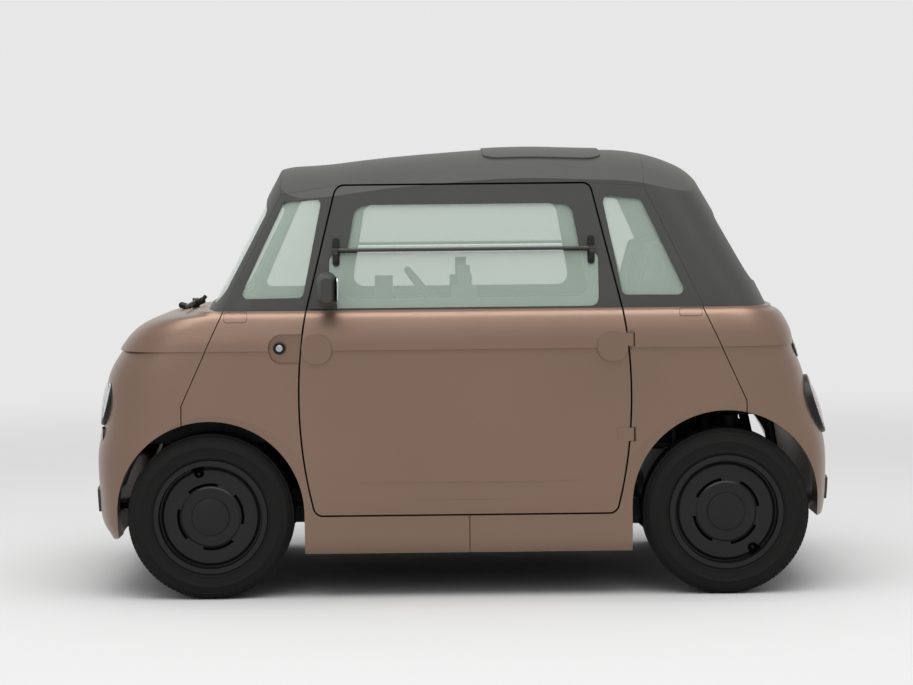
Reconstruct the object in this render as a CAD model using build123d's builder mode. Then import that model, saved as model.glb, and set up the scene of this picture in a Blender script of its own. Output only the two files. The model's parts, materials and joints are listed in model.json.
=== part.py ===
"""Two-seat electric microcar: a boxy plastic-panelled body on a tube frame, hinged doors, steered front wheels.

Frame of the model: +Z up, -X forwards, the left (driver's) side at -Y, origin on the ground under the
middle of the overall length. Millimetres.
"""

import os
from math import cos, radians, sin

from build123d import *

os.makedirs("parts", exist_ok=True)

# Overall
LENGTH = 2535.0
FRONT_OVERHANG = 415.0
REAR_OVERHANG = 392.0
BODY_HALF_WIDTH = 700.0
FRONT_AXLE_X = -LENGTH / 2 + FRONT_OVERHANG
REAR_AXLE_X = LENGTH / 2 - REAR_OVERHANG

# Heights of the body's lines
SILL_BOTTOM_Z = 152.0
CREASE_Z = 834.0
BELT_Z = 966.0
WAIST_Z = 1040.0
DOOR_TOP_Z = 1384.0
ROOF_TOP_Z = 1510.0

# Walls and gaps
WALL = 40.0
UPPER_WALL = 32.0
GLASS_THICKNESS = 5.0
DOOR_GAP = 6.0
SEAM_GAP = 4.0
SEAT_GAP = 0.6

# Lower body in plan: where the straight sides end and the rounded nose and tail begin
NOSE_CORNER = 490.0
TAIL_CORNER = 470.0
COWL_DEPTH = 12.0
COWL_OVERLAP = 10.0

# Each row: share of the height, tuck of the side, setback of the nose, setback of the tail
LOWER_ROWS = [
    (0.000, 32.0, 46.0, 62.0),
    (0.114, 16.0, 20.0, 33.0),
    (0.219, 8.0, 6.0, 18.0),
    (0.361, 0.0, 2.0, 14.0),
    (0.513, 3.0, 5.0, 20.0),
    (0.618, 7.0, 22.0, 40.0),
    (0.770, 12.0, 33.0, 78.0),
    (0.874, 15.0, 46.0, 98.0),
    (0.950, 17.0, 73.0, 120.0),
    (1.000, 19.0, 97.0, 131.0),
]
SHOULDER_ROWS = [
    (0.00, 9.0, 86.0, 128.0),
    (0.13, 10.0, 97.0, 131.0),
    (0.43, 16.0, 130.0, 142.0),
    (0.65, 25.0, 170.0, 157.0),
    (0.79, 32.0, 216.0, 170.0),
    (0.87, 37.0, 268.0, 183.0),
    (1.00, 45.0, 362.0, 205.0),
]
# Each row: height, tuck of the side, setback of the windscreen and of the rear screen,
# lengths of their rounded corners, fullness of the plan across the ends
CABIN_TOP_Z = 1530.0
CABIN_ROWS = [
    (BELT_Z, 54.0, 388.0, 214.0, 170.0, 180.0, 0.78),
    (WAIST_Z, 69.0, 427.0, 248.0, 180.0, 195.0, 0.74),
    (CABIN_TOP_Z, 170.0, 687.0, 527.0, 190.0, 210.0, 0.70),
]

# Crown of the roof along the middle: setback from the nose tip, drop below the roof's top
ROOF_LINE = [
    (590.0, 88.0),
    (640.0, 66.0),
    (780.0, 51.0),
    (930.0, 35.0),
    (1117.0, 18.0),
    (1337.0, 3.0),
    (1567.0, 0.0),
    (1747.0, 6.0),
    (1887.0, 18.0),
    (1981.0, 45.0),
    (2045.0, 76.0),
    (2098.0, 127.0),
]
ROOF_SIDE_DROP = 112.0
ROOF_CROWN_POWER = 3.0

# Door outline, symmetric about its middle
DOOR_MIDDLE_X = 4.0
DOOR_HALF_TOP = 427.0
DOOR_HALF_BELT = 528.0
DOOR_HALF_BULGE = 553.0
DOOR_HALF_BOTTOM = 503.0
DOOR_BULGE_Z = 740.0
DOOR_BOTTOM_Z = 281.0
DOOR_CORNER = 32.0

# Seams of nose and tail panels, measured from the middle of the car
SEAM_BELT_X = 800.0
SEAM_ARCH_X = 943.0
SEAM_KINK_Z = 653.0
SILL_SPLIT_X = 15.0

# Cabin pillars
PILLAR_BELT_X = 806.0
PILLAR_TOP_X = 612.0
PILLAR_TOP_Z = 1360.0

# Wheels
TYRE_RADIUS = 278.5
TYRE_WIDTH = 155.0
RIM_FLANGE_RADIUS = 190.0
BEAD_RADIUS = 178.0
TRACK_HALF = 594.0
ARCH_RADIUS = 316.0
FRONT_ARCH_Z = 285.0
REAR_ARCH_Z = 305.0
KINGPIN_Y = 562.0
POST_Y = 606.0
FRONT_POST_X = -509.0
REAR_POST_X = 530.0
FLARE_WIDTH = 49.0
FLARE_DEPTH = 16.0
LINER_GAP = 3.0
LINER_WALL = 4.0
HINGE_PIN_RADIUS = 3.5

BIG = 2000.0


def save(part, name):
    """Label a finished piece and write its file."""
    part.label = name
    export_step(part, f"parts/{name}.step")


def plan_face(z, half_width, nose_x, tail_x, nose_start_x, tail_start_x, round_side, round_end):
    """Closed plan outline at one height: straight sides, a rounded nose and a rounded tail."""
    with BuildSketch(Plane.XY.offset(z)) as face:
        with BuildLine():
            Bezier(
                (nose_x, 0),
                (nose_x, half_width * round_end),
                (nose_start_x + (nose_x - nose_start_x) * round_side, half_width),
                (nose_start_x, half_width),
            )
            Line((nose_start_x, half_width), (tail_start_x, half_width))
            Bezier(
                (tail_start_x, half_width),
                (tail_start_x + (tail_x - tail_start_x) * round_side, half_width),
                (tail_x, half_width * round_end),
                (tail_x, 0),
            )
            mirror(about=Plane.XZ)
        make_face()
    return face.sketch


def lofted(low_z, high_z, rows, inset):
    """Body volume between two heights, its walls moved in by the inset."""
    with BuildPart() as volume:
        for share, tuck, nose, tail in rows:
            add(
                plan_face(
                    low_z + share * (high_z - low_z),
                    BODY_HALF_WIDTH - tuck - inset,
                    -LENGTH / 2 + nose + inset,
                    LENGTH / 2 - tail - inset,
                    -LENGTH / 2 + NOSE_CORNER,
                    LENGTH / 2 - TAIL_CORNER,
                    1.0,
                    0.95,
                )
            )
        loft()
    return volume.part


def lower_volume(inset):
    """Lower body from the sill to the belt, with the shoulder that overhangs the crease."""
    with BuildPart() as volume:
        add(lofted(SILL_BOTTOM_Z, CREASE_Z, LOWER_ROWS, inset))
        add(lofted(CREASE_Z, BELT_Z, SHOULDER_ROWS, inset))
    return volume.part


def roof_under(drop):
    """Solid below the crowned roof surface, which is lowered by the drop."""
    rows = []
    for setback, fall in ROOF_LINE:
        x = -LENGTH / 2 + setback
        rows.append(
            [
                (x, BODY_HALF_WIDTH * s, ROOF_TOP_Z - fall - drop - ROOF_SIDE_DROP * abs(s / 0.8) ** ROOF_CROWN_POWER)
                for s in (-0.95, -0.8, -0.65, -0.5, -0.3, -0.1, 0.1, 0.3, 0.5, 0.65, 0.8, 0.95)
            ]
        )
    rows.insert(0, [(x - 150, y, z - 25) for x, y, z in rows[0]])
    rows.insert(0, [(x - 250, y, z - 10) for x, y, z in rows[0]])
    rows.append([(x + 90, y, z - 72) for x, y, z in rows[-1]])
    rows.append([(x + 190, y, z - 110) for x, y, z in rows[-1]])
    surface = Face.make_surface_from_array_of_points([[Vector(*p) for p in row] for row in rows])
    with BuildPart() as under:
        extrude(surface, amount=900, dir=(0, 0, -1))
    return under.part


def cabin_volume(inset):
    """Upper body from the belt to the crowned roof."""
    with BuildPart() as volume:
        for z, tuck, nose, tail, nose_corner, tail_corner, fullness in CABIN_ROWS:
            nose_x = -LENGTH / 2 + nose
            tail_x = LENGTH / 2 - tail
            add(
                plan_face(
                    z,
                    BODY_HALF_WIDTH - tuck - inset,
                    nose_x + inset,
                    tail_x - inset,
                    nose_x + nose_corner,
                    tail_x - tail_corner,
                    0.9,
                    fullness,
                )
            )
        loft(ruled=True)
        add(roof_under(inset), mode=Mode.INTERSECT)
    return volume.part


def shell(outer, inner):
    """What is left of the outer volume outside the inner one."""
    with BuildPart() as wall:
        add(outer)
        add(inner, mode=Mode.SUBTRACT)
    return wall.part


def without(solid, *cuts):
    """The solid with the cuts taken away."""
    with BuildPart() as rest:
        add(solid)
        for cut in cuts:
            add(cut, mode=Mode.SUBTRACT)
    return rest.part


def region(points, shrink=0.0, corner=0.0):
    """Side-view outline as a face in the XZ plane, shrunk for its gap."""
    with BuildSketch(Plane.XZ) as face:
        with BuildLine():
            Polyline(*points, close=True)
        make_face()
        if shrink:
            offset(amount=-shrink, kind=Kind.INTERSECTION, mode=Mode.REPLACE)
        if corner:
            fillet(face.vertices(), corner)
    return face.sketch


def door_region(grow, top_z=DOOR_TOP_Z):
    """Side-view outline of the door, grown by a gap."""
    with BuildSketch(Plane.XZ) as face:
        with BuildLine():
            Line((0, top_z), (DOOR_HALF_TOP, top_z))
            Line((DOOR_HALF_TOP, top_z), (DOOR_HALF_BELT, BELT_Z))
            ThreePointArc(
                (DOOR_HALF_BELT, BELT_Z), (DOOR_HALF_BULGE, DOOR_BULGE_Z), (DOOR_HALF_BOTTOM, DOOR_BOTTOM_Z)
            )
            Line((DOOR_HALF_BOTTOM, DOOR_BOTTOM_Z), (0, DOOR_BOTTOM_Z))
            mirror(about=Plane.YZ)
        make_face()
        fillet(face.vertices().group_by(Axis.Z)[0], DOOR_CORNER)
        if grow:
            offset(amount=grow, kind=Kind.INTERSECTION, mode=Mode.REPLACE)
    with BuildSketch(Plane.XZ) as placed:
        add(face.sketch.moved(Location((DOOR_MIDDLE_X, 0, 0))))
    return placed.sketch


def prism(face, side):
    """Side-view face drawn out to one side, -1 left and 1 right, or 0 for both."""
    with BuildPart() as block:
        if side:
            extrude(face, amount=BIG, dir=(0, side, 0))
        else:
            extrude(face, amount=BIG, dir=(0, 1, 0), both=True)
    return block.part


def piece(layers, outline, side, cuts=()):
    """One body panel: its outer skin with a visible seam, its inner flange closer to its neighbours."""
    outer_layer, inner_layer = layers
    with BuildPart() as panel:
        add(outer_layer)
        add(prism(outline(SEAM_GAP / 2), side), mode=Mode.INTERSECT)
    with BuildPart() as flange:
        add(inner_layer)
        add(prism(outline(SEAT_GAP / 2), side), mode=Mode.INTERSECT)
    with BuildPart() as joined:
        add(panel.part)
        add(flange.part)
        for cut in cuts:
            add(cut, mode=Mode.SUBTRACT)
    return joined.part


def nose_outline(gap):
    return region(
        [
            (-BIG, 0),
            (-SEAM_ARCH_X - gap, 0),
            (-SEAM_ARCH_X - gap, SEAM_KINK_Z),
            (-SEAM_BELT_X - gap, BELT_Z + 1),
            (-BIG, BELT_Z + 1),
        ]
    )


def tail_outline(gap):
    return region(
        [
            (BIG, 0),
            (SEAM_ARCH_X + gap, 0),
            (SEAM_ARCH_X + gap, SEAM_KINK_Z),
            (SEAM_BELT_X + gap, BELT_Z + 1),
            (BIG, BELT_Z + 1),
        ]
    )


def side_outline(end):
    """Wing with its half of the sill, at the front for end -1 and at the rear for end 1."""

    def outline(gap):
        return region(
            [
                (end * (SEAM_ARCH_X - gap), 0),
                (end * (SEAM_ARCH_X - gap), SEAM_KINK_Z),
                (end * (SEAM_BELT_X - gap), BELT_Z + 1),
                (SILL_SPLIT_X + end * gap, BELT_Z + 1),
                (SILL_SPLIT_X + end * gap, 0),
            ]
        )

    return outline


def arch_cut(x, z):
    """Round wheel opening through both sides."""
    with BuildPart() as cut:
        with BuildSketch(Plane.XZ):
            with Locations((x, z)):
                Circle(ARCH_RADIUS)
            with Locations((x, z - BIG / 2)):
                Rectangle(2 * ARCH_RADIUS, BIG)
        extrude(amount=BIG, both=True)
    return cut.part


def arch_bevel(x, z):
    """Cone that bevels the skin around a wheel opening on both sides."""
    outer_y = BODY_HALF_WIDTH + 30
    with BuildPart() as cut:
        for side in (-1, 1):
            with BuildSketch(Plane(origin=(x, side * (BODY_HALF_WIDTH - FLARE_DEPTH), z), z_dir=(0, side, 0))) as low:
                Circle(ARCH_RADIUS - 1)
            with BuildSketch(Plane(origin=(x, side * outer_y, z), z_dir=(0, side, 0))) as high:
                Circle(ARCH_RADIUS + FLARE_WIDTH * (FLARE_DEPTH + 30) / FLARE_DEPTH)
            loft(sections=[low.sketch, high.sketch])
    return cut.part


def underside_cut():
    """What is cut away below the nose and the tail."""
    with BuildPart() as cut:
        with BuildSketch(Plane.XZ):
            with BuildLine():
                Polyline((-BIG, 182), (-1215, 182), (-1150, 208), (-900, 208), (-900, 0), (-BIG, 0), close=True)
            make_face()
            with BuildLine():
                Polyline((BIG, 256), (1190, 252), (1150, 248), (900, 248), (900, 0), (BIG, 0), close=True)
            make_face()
        extrude(amount=BIG, both=True)
    return cut.part


def cowl():
    """Level ledge at the belt, between the body's skin and the feet of the windscreen and rear screen."""
    _, _, nose, tail, nose_corner, tail_corner, fullness = CABIN_ROWS[0]
    nose_x = -LENGTH / 2 + nose + COWL_OVERLAP
    tail_x = LENGTH / 2 - tail - COWL_OVERLAP
    with BuildPart() as ledge:
        with BuildSketch(Plane.XY.offset(BELT_Z - COWL_DEPTH)):
            Rectangle(2 * BIG, 2 * BIG)
            add(
                plan_face(
                    0, BODY_HALF_WIDTH, nose_x, tail_x, nose_x + nose_corner, tail_x - tail_corner, 0.9, fullness
                ),
                mode=Mode.SUBTRACT,
            )
        extrude(amount=COWL_DEPTH + 1)
    return ledge.part


lower_outer = lower_volume(0)
lower_middle = without(lower_volume(WALL / 2), cowl())
lower_inner = without(lower_volume(WALL), cowl())
lower_layers = (shell(lower_outer, lower_middle), shell(lower_middle, lower_inner))

arches = [arch_cut(FRONT_AXLE_X, FRONT_ARCH_Z), arch_cut(REAR_AXLE_X, REAR_ARCH_Z)]
door_hole = {side: prism(door_region(DOOR_GAP / 2), side) for side in (-1, 1)}

bevels = [arch_bevel(FRONT_AXLE_X, FRONT_ARCH_Z), arch_bevel(REAR_AXLE_X, REAR_ARCH_Z)]
front_panel = piece(lower_layers, nose_outline, 0, [arches[0], bevels[0], underside_cut()])
rear_panel = piece(lower_layers, tail_outline, 0, [arches[1], bevels[1], underside_cut()])
side_panels = {
    end: piece(
        lower_layers,
        side_outline(end),
        -1,
        [arches[(end + 1) // 2], bevels[(end + 1) // 2], door_hole[-1]],
    )
    for end in (-1, 1)
}


# Cabin windows
ROOF_EDGE_FRONT_Z = 1354.0
ROOF_EDGE_REAR_Z = 1372.0
GLASS_SET = 7.0
SEAL_GAP = 0.6
WINDSCREEN_BOTTOM_Z = 990.0
WINDSCREEN_TOP_Z = 1300.0
WINDSCREEN_RISE = 82.0
WINDSCREEN_HALF_BOTTOM = 556.0
WINDSCREEN_HALF_TOP = 486.0
REAR_WINDOW_BOTTOM_Z = 1042.0
REAR_WINDOW_TOP_Z = 1262.0
REAR_WINDOW_RISE = 64.0
REAR_WINDOW_HALF_BOTTOM = 505.0
REAR_WINDOW_HALF_TOP = 440.0
QUARTER_WINDOW = [(601.0, 1330.0), (470.0, 1342.0), (535.0, 1008.0), (751.0, 1006.0)]
DOOR_WINDOW_HALF_TOP = 363.0
DOOR_WINDOW_HALF_BELT = 418.0
DOOR_WINDOW_TOP_Z = 1316.0
DOOR_WINDOW_BOTTOM_Z = 1003.0
DOOR_WINDOW_CORNER = 70.0
FLAP_HALF = 452.0
FLAP_BOTTOM_Z = 971.0
FLAP_TOP_Z = 1158.0
FLAP_CORNER = 85.0
BAR_Z = 1166.0
BAR_RADIUS = 6.0

ROOF_PAD_MIDDLE_X = 278.0
ROOF_PAD_LENGTH = 405.0
ROOF_PAD_WIDTH = 800.0
ROOF_PAD_PROUD = 6.0
SEAL_INSET = 44.0

# Hinges
HINGE_INSET = 12.0
HINGE_OFFSET = 4.0
HINGE_HEIGHTS = (545.0, 862.0)
HINGE_HALF_HEIGHT = 22.0
HINGE_PIN_EXTRA = 12.0
HINGE_KNUCKLE_RADIUS = 6.5
HINGE_ARM_PROUD = 9.5
HINGE_CLEARANCE = 2.5
RUNNING_GAP = 0.3


def upper_cut(points, side, corner=0.0, shrink=0.0):
    """Prism through one side, or both, of an upper side-view outline."""
    return prism(region(points, shrink, corner), side)


def end_opening(direction, low_z, high_z, half_low, half_high, rise, corner, shrink):
    """Prism of a front or rear window, drawn out along the car."""
    with BuildPart() as block:
        with BuildSketch(Plane.YZ):
            with BuildLine():
                Polyline((-half_high, high_z), (-half_low, low_z), (half_low, low_z), (half_high, high_z))
                ThreePointArc((half_high, high_z), (0, high_z + rise), (-half_high, high_z))
            make_face()
            fillet(vertices(), corner)
            if shrink:
                offset(amount=-shrink, kind=Kind.INTERSECTION, mode=Mode.REPLACE)
        extrude(amount=direction * BIG)
    return block.part


def common(*solids):
    """Volume shared by all the solids."""
    with BuildPart() as shared:
        add(solids[0])
        for other in solids[1:]:
            add(other, mode=Mode.INTERSECT)
    return shared.part


def joined(*solids):
    """The solids as one."""
    with BuildPart() as whole:
        for solid in solids:
            add(solid)
    return whole.part


def box_between(low, high):
    """Block given by two opposite corners."""
    with BuildPart() as block:
        with Locations([tuple((a + b) / 2 for a, b in zip(low, high))]):
            Box(*[abs(b - a) for a, b in zip(low, high)])
    return block.part


def tube_between(start, end, radius, bore=0.0):
    """Round bar, or tube, between two points."""
    a, b = Vector(*start), Vector(*end)
    with BuildPart() as bar:
        with BuildSketch(Plane(origin=a, z_dir=(b - a).normalized())):
            Circle(radius)
            if bore:
                Circle(bore, mode=Mode.SUBTRACT)
        extrude(amount=(b - a).length)
    return bar.part


def both_sides(solid):
    """The solid and its mirror image on the other side of the car."""
    with BuildPart() as pair:
        add(solid)
        add(mirror(solid, about=Plane.XZ))
    return pair.part


def to_right_door(solid):
    """A left door's piece turned half a turn about the doors' middle, as the right door is the same part."""
    return solid.rotate(Axis((DOOR_MIDDLE_X, 0, 0), (0, 0, 1)), 180)


cabin_outer = cabin_volume(0)
cabin_inner = cabin_volume(UPPER_WALL)
cabin_shell = shell(cabin_outer, cabin_inner)
glass_layer = shell(cabin_volume(GLASS_SET), cabin_volume(GLASS_SET + GLASS_THICKNESS))


def pillar_outline(end, gap):
    """Windscreen or rear screen surround, ahead of or behind the pillar's line."""
    return region(
        [
            (end * BIG, BELT_Z),
            (end * (PILLAR_BELT_X + gap), BELT_Z),
            (end * (PILLAR_TOP_X + gap), ROOF_EDGE_FRONT_Z if end < 0 else ROOF_EDGE_REAR_Z),
            (end * (PILLAR_TOP_X + 24 + gap), 1600),
            (end * BIG, 1600),
        ]
    )


def roof_outline(gap):
    return region(
        [
            (-PILLAR_TOP_X + gap, ROOF_EDGE_FRONT_Z + gap),
            (-DOOR_HALF_TOP + DOOR_MIDDLE_X, DOOR_TOP_Z + gap),
            (DOOR_HALF_TOP + DOOR_MIDDLE_X, DOOR_TOP_Z + gap),
            (PILLAR_TOP_X - gap, ROOF_EDGE_REAR_Z + gap),
            (PILLAR_TOP_X + 24 - gap, 1600),
            (-PILLAR_TOP_X - 24 + gap, 1600),
        ]
    )


def quarter_outline(end, gap):
    edge_z = ROOF_EDGE_FRONT_Z if end < 0 else ROOF_EDGE_REAR_Z
    return region(
        [
            (end * (PILLAR_BELT_X - gap), BELT_Z),
            (end * (PILLAR_TOP_X - gap), edge_z - gap),
            (end * DOOR_HALF_TOP + DOOR_MIDDLE_X, DOOR_TOP_Z - gap),
            (end * 300, DOOR_TOP_Z - gap),
            (end * 300, BELT_Z),
        ]
    )


upper_seam = SEAT_GAP / 2
door_holes_both = prism(door_region(DOOR_GAP / 2), 0)
windscreen_hole = end_opening(
    -1, WINDSCREEN_BOTTOM_Z, WINDSCREEN_TOP_Z, WINDSCREEN_HALF_BOTTOM, WINDSCREEN_HALF_TOP, WINDSCREEN_RISE, 45, 0
)
windscreen_fill = end_opening(
    -1, WINDSCREEN_BOTTOM_Z, WINDSCREEN_TOP_Z, WINDSCREEN_HALF_BOTTOM, WINDSCREEN_HALF_TOP, WINDSCREEN_RISE, 45, SEAL_GAP / 2
)
rear_hole = end_opening(
    1, REAR_WINDOW_BOTTOM_Z, REAR_WINDOW_TOP_Z, REAR_WINDOW_HALF_BOTTOM, REAR_WINDOW_HALF_TOP, REAR_WINDOW_RISE, 45, 0
)
rear_fill = end_opening(
    1, REAR_WINDOW_BOTTOM_Z, REAR_WINDOW_TOP_Z, REAR_WINDOW_HALF_BOTTOM, REAR_WINDOW_HALF_TOP, REAR_WINDOW_RISE, 45, SEAL_GAP / 2
)
save(without(common(cabin_shell, prism(pillar_outline(-1, upper_seam), 0)), windscreen_hole), "windscreen_frame")
save(without(common(cabin_shell, prism(pillar_outline(1, upper_seam), 0)), rear_hole), "rear_frame")
save(common(glass_layer, windscreen_fill), "windscreen")
save(common(glass_layer, rear_fill), "rear_window")
with BuildPart() as roof_pad:
    with BuildSketch(Plane.XY.offset(1380)):
        with Locations((ROOF_PAD_MIDDLE_X, 0)):
            RectangleRounded(ROOF_PAD_LENGTH, ROOF_PAD_WIDTH, 60)
    extrude(amount=300)
    add(roof_under(-ROOF_PAD_PROUD), mode=Mode.INTERSECT)
    add(cabin_inner, mode=Mode.SUBTRACT)
roof = joined(common(cabin_shell, prism(roof_outline(upper_seam), 0)), roof_pad.part)
save(without(roof, door_holes_both), "roof_panel")


def door_seal():
    """Rubber-faced flange inside the cabin pillars, behind the gap around the doors' upper frames."""
    ring = without(
        shell(cabin_inner, cabin_volume(SEAL_INSET)),
        prism(door_region(-22), 0),
        common(cabin_volume(-5), shell(cabin_outer, cabin_volume(UPPER_WALL + 6)), prism(door_region(DOOR_GAP / 2 + 2), 0)),
    )
    left = common(ring, prism(door_region(24), 0), box_between((-BIG, -BIG, BELT_Z), (BIG, 0, 1700)))
    return joined(left, without(to_right_door(left), cabin_shell))


quarter_holes = []
quarter_fills = []
for end in (-1, 1):
    outline = [(end * x, z) for x, z in QUARTER_WINDOW]
    quarter_holes.append(upper_cut(outline, 0, 20))
    quarter_fills.append(common(glass_layer, upper_cut(outline, 0, 20, SEAL_GAP / 2)))
quarter_frames = joined(
    *[
        without(
            common(cabin_shell, prism(quarter_outline(end, upper_seam), 0)), door_holes_both, quarter_holes[(end + 1) // 2]
        )
        for end in (-1, 1)
    ]
)
save(quarter_frames, "quarter_frames")
save(joined(*quarter_fills), "quarter_glass")


# Doors
DOOR_RECESS_Z = 790.0
DOOR_RECESS_TOP_Z = 890.0
LOCK_NEAR_X = 547.0
LOCK_FAR_X = 650.0
LOCK_PAD_LENGTH = 100.0
LOCK_DEPTH = 24.0
LOCK_BARREL_RADIUS = 20.0
LOCK_BARREL_X = 613.0
LOCK_BARREL_Z = 843.0
HINGE_X = DOOR_MIDDLE_X + DOOR_HALF_BULGE + HINGE_OFFSET
HINGE_Y = -(BODY_HALF_WIDTH - HINGE_INSET)


def lying_slot(x_low, x_high, z_low, z_high, y_near, y_far):
    """Stadium-shaped block, long along the car, between two depths."""
    with BuildPart() as block:
        with BuildSketch(Plane.XZ.offset(-y_near)):
            with Locations(((x_low + x_high) / 2, (z_low + z_high) / 2)):
                RectangleRounded(x_high - x_low, z_high - z_low, min(x_high - x_low, z_high - z_low) * 0.45)
        extrude(amount=y_near - y_far)
    return block.part


def standing_bar(x, y, z_low, z_high, radius):
    """Upright round bar."""
    return tube_between((x, y, z_low), (x, y, z_high), radius)


def hinge_notches():
    """Room in the left rear side panel for the door's two knuckles, and bores for the pins' ends."""
    pockets = []
    for z in HINGE_HEIGHTS:
        low, high = z - HINGE_HALF_HEIGHT - 2, z + HINGE_HALF_HEIGHT + 2
        pockets.append(standing_bar(HINGE_X, HINGE_Y, low, high, HINGE_KNUCKLE_RADIUS + HINGE_CLEARANCE))
        pockets.append(box_between((HINGE_X - 60, -720, low), (HINGE_X, HINGE_Y + 5 + HINGE_CLEARANCE, high)))
        pockets.append(
            box_between((HINGE_X - 3, -720, low), (HINGE_X + HINGE_ARM_PROUD + HINGE_CLEARANCE, HINGE_Y, high))
        )
        half = HINGE_HALF_HEIGHT + HINGE_PIN_EXTRA
        pockets.append(standing_bar(HINGE_X, HINGE_Y, z - half, z + half, HINGE_PIN_RADIUS + RUNNING_GAP))
    return joined(*pockets)


def hinge_pins():
    return joined(
        *[
            standing_bar(
                HINGE_X,
                HINGE_Y,
                z - HINGE_HALF_HEIGHT - HINGE_PIN_EXTRA + 0.3,
                z + HINGE_HALF_HEIGHT + HINGE_PIN_EXTRA - 0.3,
                HINGE_PIN_RADIUS,
            )
            for z in HINGE_HEIGHTS
        ]
    )


def door_knuckles():
    """Knuckle and arm at each hinge height, bored for the pin."""
    knuckles = []
    for z in HINGE_HEIGHTS:
        low, high = z - HINGE_HALF_HEIGHT, z + HINGE_HALF_HEIGHT
        body = joined(
            standing_bar(HINGE_X, HINGE_Y, low, high, HINGE_KNUCKLE_RADIUS),
            box_between((HINGE_X - 50, HINGE_Y - HINGE_ARM_PROUD, low), (HINGE_X, HINGE_Y + 5, high)),
        )
        knuckles.append(
            without(body, standing_bar(HINGE_X, HINGE_Y, low - 1, high + 1, HINGE_PIN_RADIUS + RUNNING_GAP))
        )
    return joined(*knuckles)


door_prism = prism(door_region(-DOOR_GAP / 2), -1)
lower_wall = shell(lower_outer, lower_inner)
LOCK_PADS = [(-LOCK_NEAR_X + 8, -LOCK_NEAR_X + 8 + LOCK_PAD_LENGTH), (LOCK_NEAR_X - LOCK_PAD_LENGTH, LOCK_NEAR_X)]
door_panel = joined(
    common(lower_wall, door_prism),
    *[lying_slot(low, high, DOOR_RECESS_Z, DOOR_RECESS_TOP_Z, -670, -697) for low, high in LOCK_PADS],
    door_knuckles(),
)

recess = lying_slot(
    -LOCK_FAR_X, -LOCK_NEAR_X + 60, DOOR_RECESS_Z, DOOR_RECESS_TOP_Z, -(BODY_HALF_WIDTH - 9 - LOCK_DEPTH), -720
)
barrel = tube_between((-LOCK_BARREL_X, -660, LOCK_BARREL_Z), (-LOCK_BARREL_X, -684, LOCK_BARREL_Z), LOCK_BARREL_RADIUS)
panel_front_left = joined(without(side_panels[-1], recess), barrel)
panel_rear_left = without(side_panels[1], hinge_notches())
save(panel_front_left, "side_panel_front_left")
save(panel_rear_left, "side_panel_rear_left")
save(
    without(mirror(side_panels[-1], about=Plane.XZ), to_right_door(hinge_notches())),
    "side_panel_front_right",
)
save(
    joined(without(mirror(side_panels[1], about=Plane.XZ), to_right_door(recess)), to_right_door(barrel)),
    "side_panel_rear_right",
)

CREASE_LOW_Z = 394.0
with BuildPart() as crease_cut:
    with BuildSketch(Plane.XY.offset(CREASE_LOW_Z - 62)):
        with BuildLine():
            ThreePointArc((-480, -701), (12, -693.5), (504, -701))
            Polyline((504, -701), (504, -760), (-480, -760), (-480, -701))
        make_face()
    extrude(amount=62)
door_panel = without(door_panel, crease_cut.part)

window_points = [
    (-DOOR_WINDOW_HALF_TOP, DOOR_WINDOW_TOP_Z),
    (DOOR_WINDOW_HALF_TOP, DOOR_WINDOW_TOP_Z),
    (DOOR_WINDOW_HALF_BELT, DOOR_WINDOW_BOTTOM_Z),
    (-DOOR_WINDOW_HALF_BELT, DOOR_WINDOW_BOTTOM_Z),
]
flap_points = [(-FLAP_HALF, FLAP_BOTTOM_Z), (FLAP_HALF, FLAP_BOTTOM_Z), (FLAP_HALF, FLAP_TOP_Z), (-FLAP_HALF, FLAP_TOP_Z)]
shift = Location((DOOR_MIDDLE_X, 0, 0))
window_hole = upper_cut(window_points, -1, 40).moved(shift)
upper_pane_zone = box_between((-BIG, -BIG, BAR_Z - 2), (BIG, 0, 1600))
flap_zone = upper_cut(flap_points, -1, 30).moved(shift)
FLAP_SET = 0.5
FLAP_SEAT = 6.5
flap_layer = shell(cabin_volume(FLAP_SET), cabin_volume(FLAP_SET + GLASS_THICKNESS))
flap_rebate = shell(cabin_volume(-30), cabin_volume(FLAP_SEAT))
flap = common(flap_layer, upper_cut(flap_points, -1, 29, 1.5).moved(shift))
pane = common(
    glass_layer,
    upper_cut(window_points, -1, 40, SEAL_GAP / 2).moved(shift),
    box_between((-BIG, -BIG, BAR_Z), (BIG, 0, 1600)),
)
door_frame = without(
    common(cabin_shell, door_prism, box_between((-BIG, -BIG, BELT_Z), (BIG, 0, 1600))),
    window_hole,
    common(flap_rebate, flap_zone),
)
bar_y = -(BODY_HALF_WIDTH - 86.0)
flap_bar = joined(
    tube_between((DOOR_MIDDLE_X - 440, bar_y, BAR_Z), (DOOR_MIDDLE_X + 440, bar_y, BAR_Z), BAR_RADIUS),
    *[
        box_between((DOOR_MIDDLE_X + x - 9, bar_y - 5, BAR_Z - 14), (DOOR_MIDDLE_X + x + 9, bar_y + 22, BAR_Z + 8))
        for x in (-430, 430)
    ],
)
latch = common(
    joined(
        box_between((DOOR_MIDDLE_X - 43, -BIG, 1003), (DOOR_MIDDLE_X + 43, 0, 1045)),
        box_between((DOOR_MIDDLE_X - 21, -BIG, 1040), (DOOR_MIDDLE_X + 21, 0, 1112)),
    ),
    shell(cabin_volume(FLAP_SEAT), cabin_volume(FLAP_SEAT + 22)),
)
flap_bar = joined(flap_bar, latch)
MIRROR_X = -446.0
MIRROR_Z = 1035.0
MIRROR_REACH = 150.0


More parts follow.
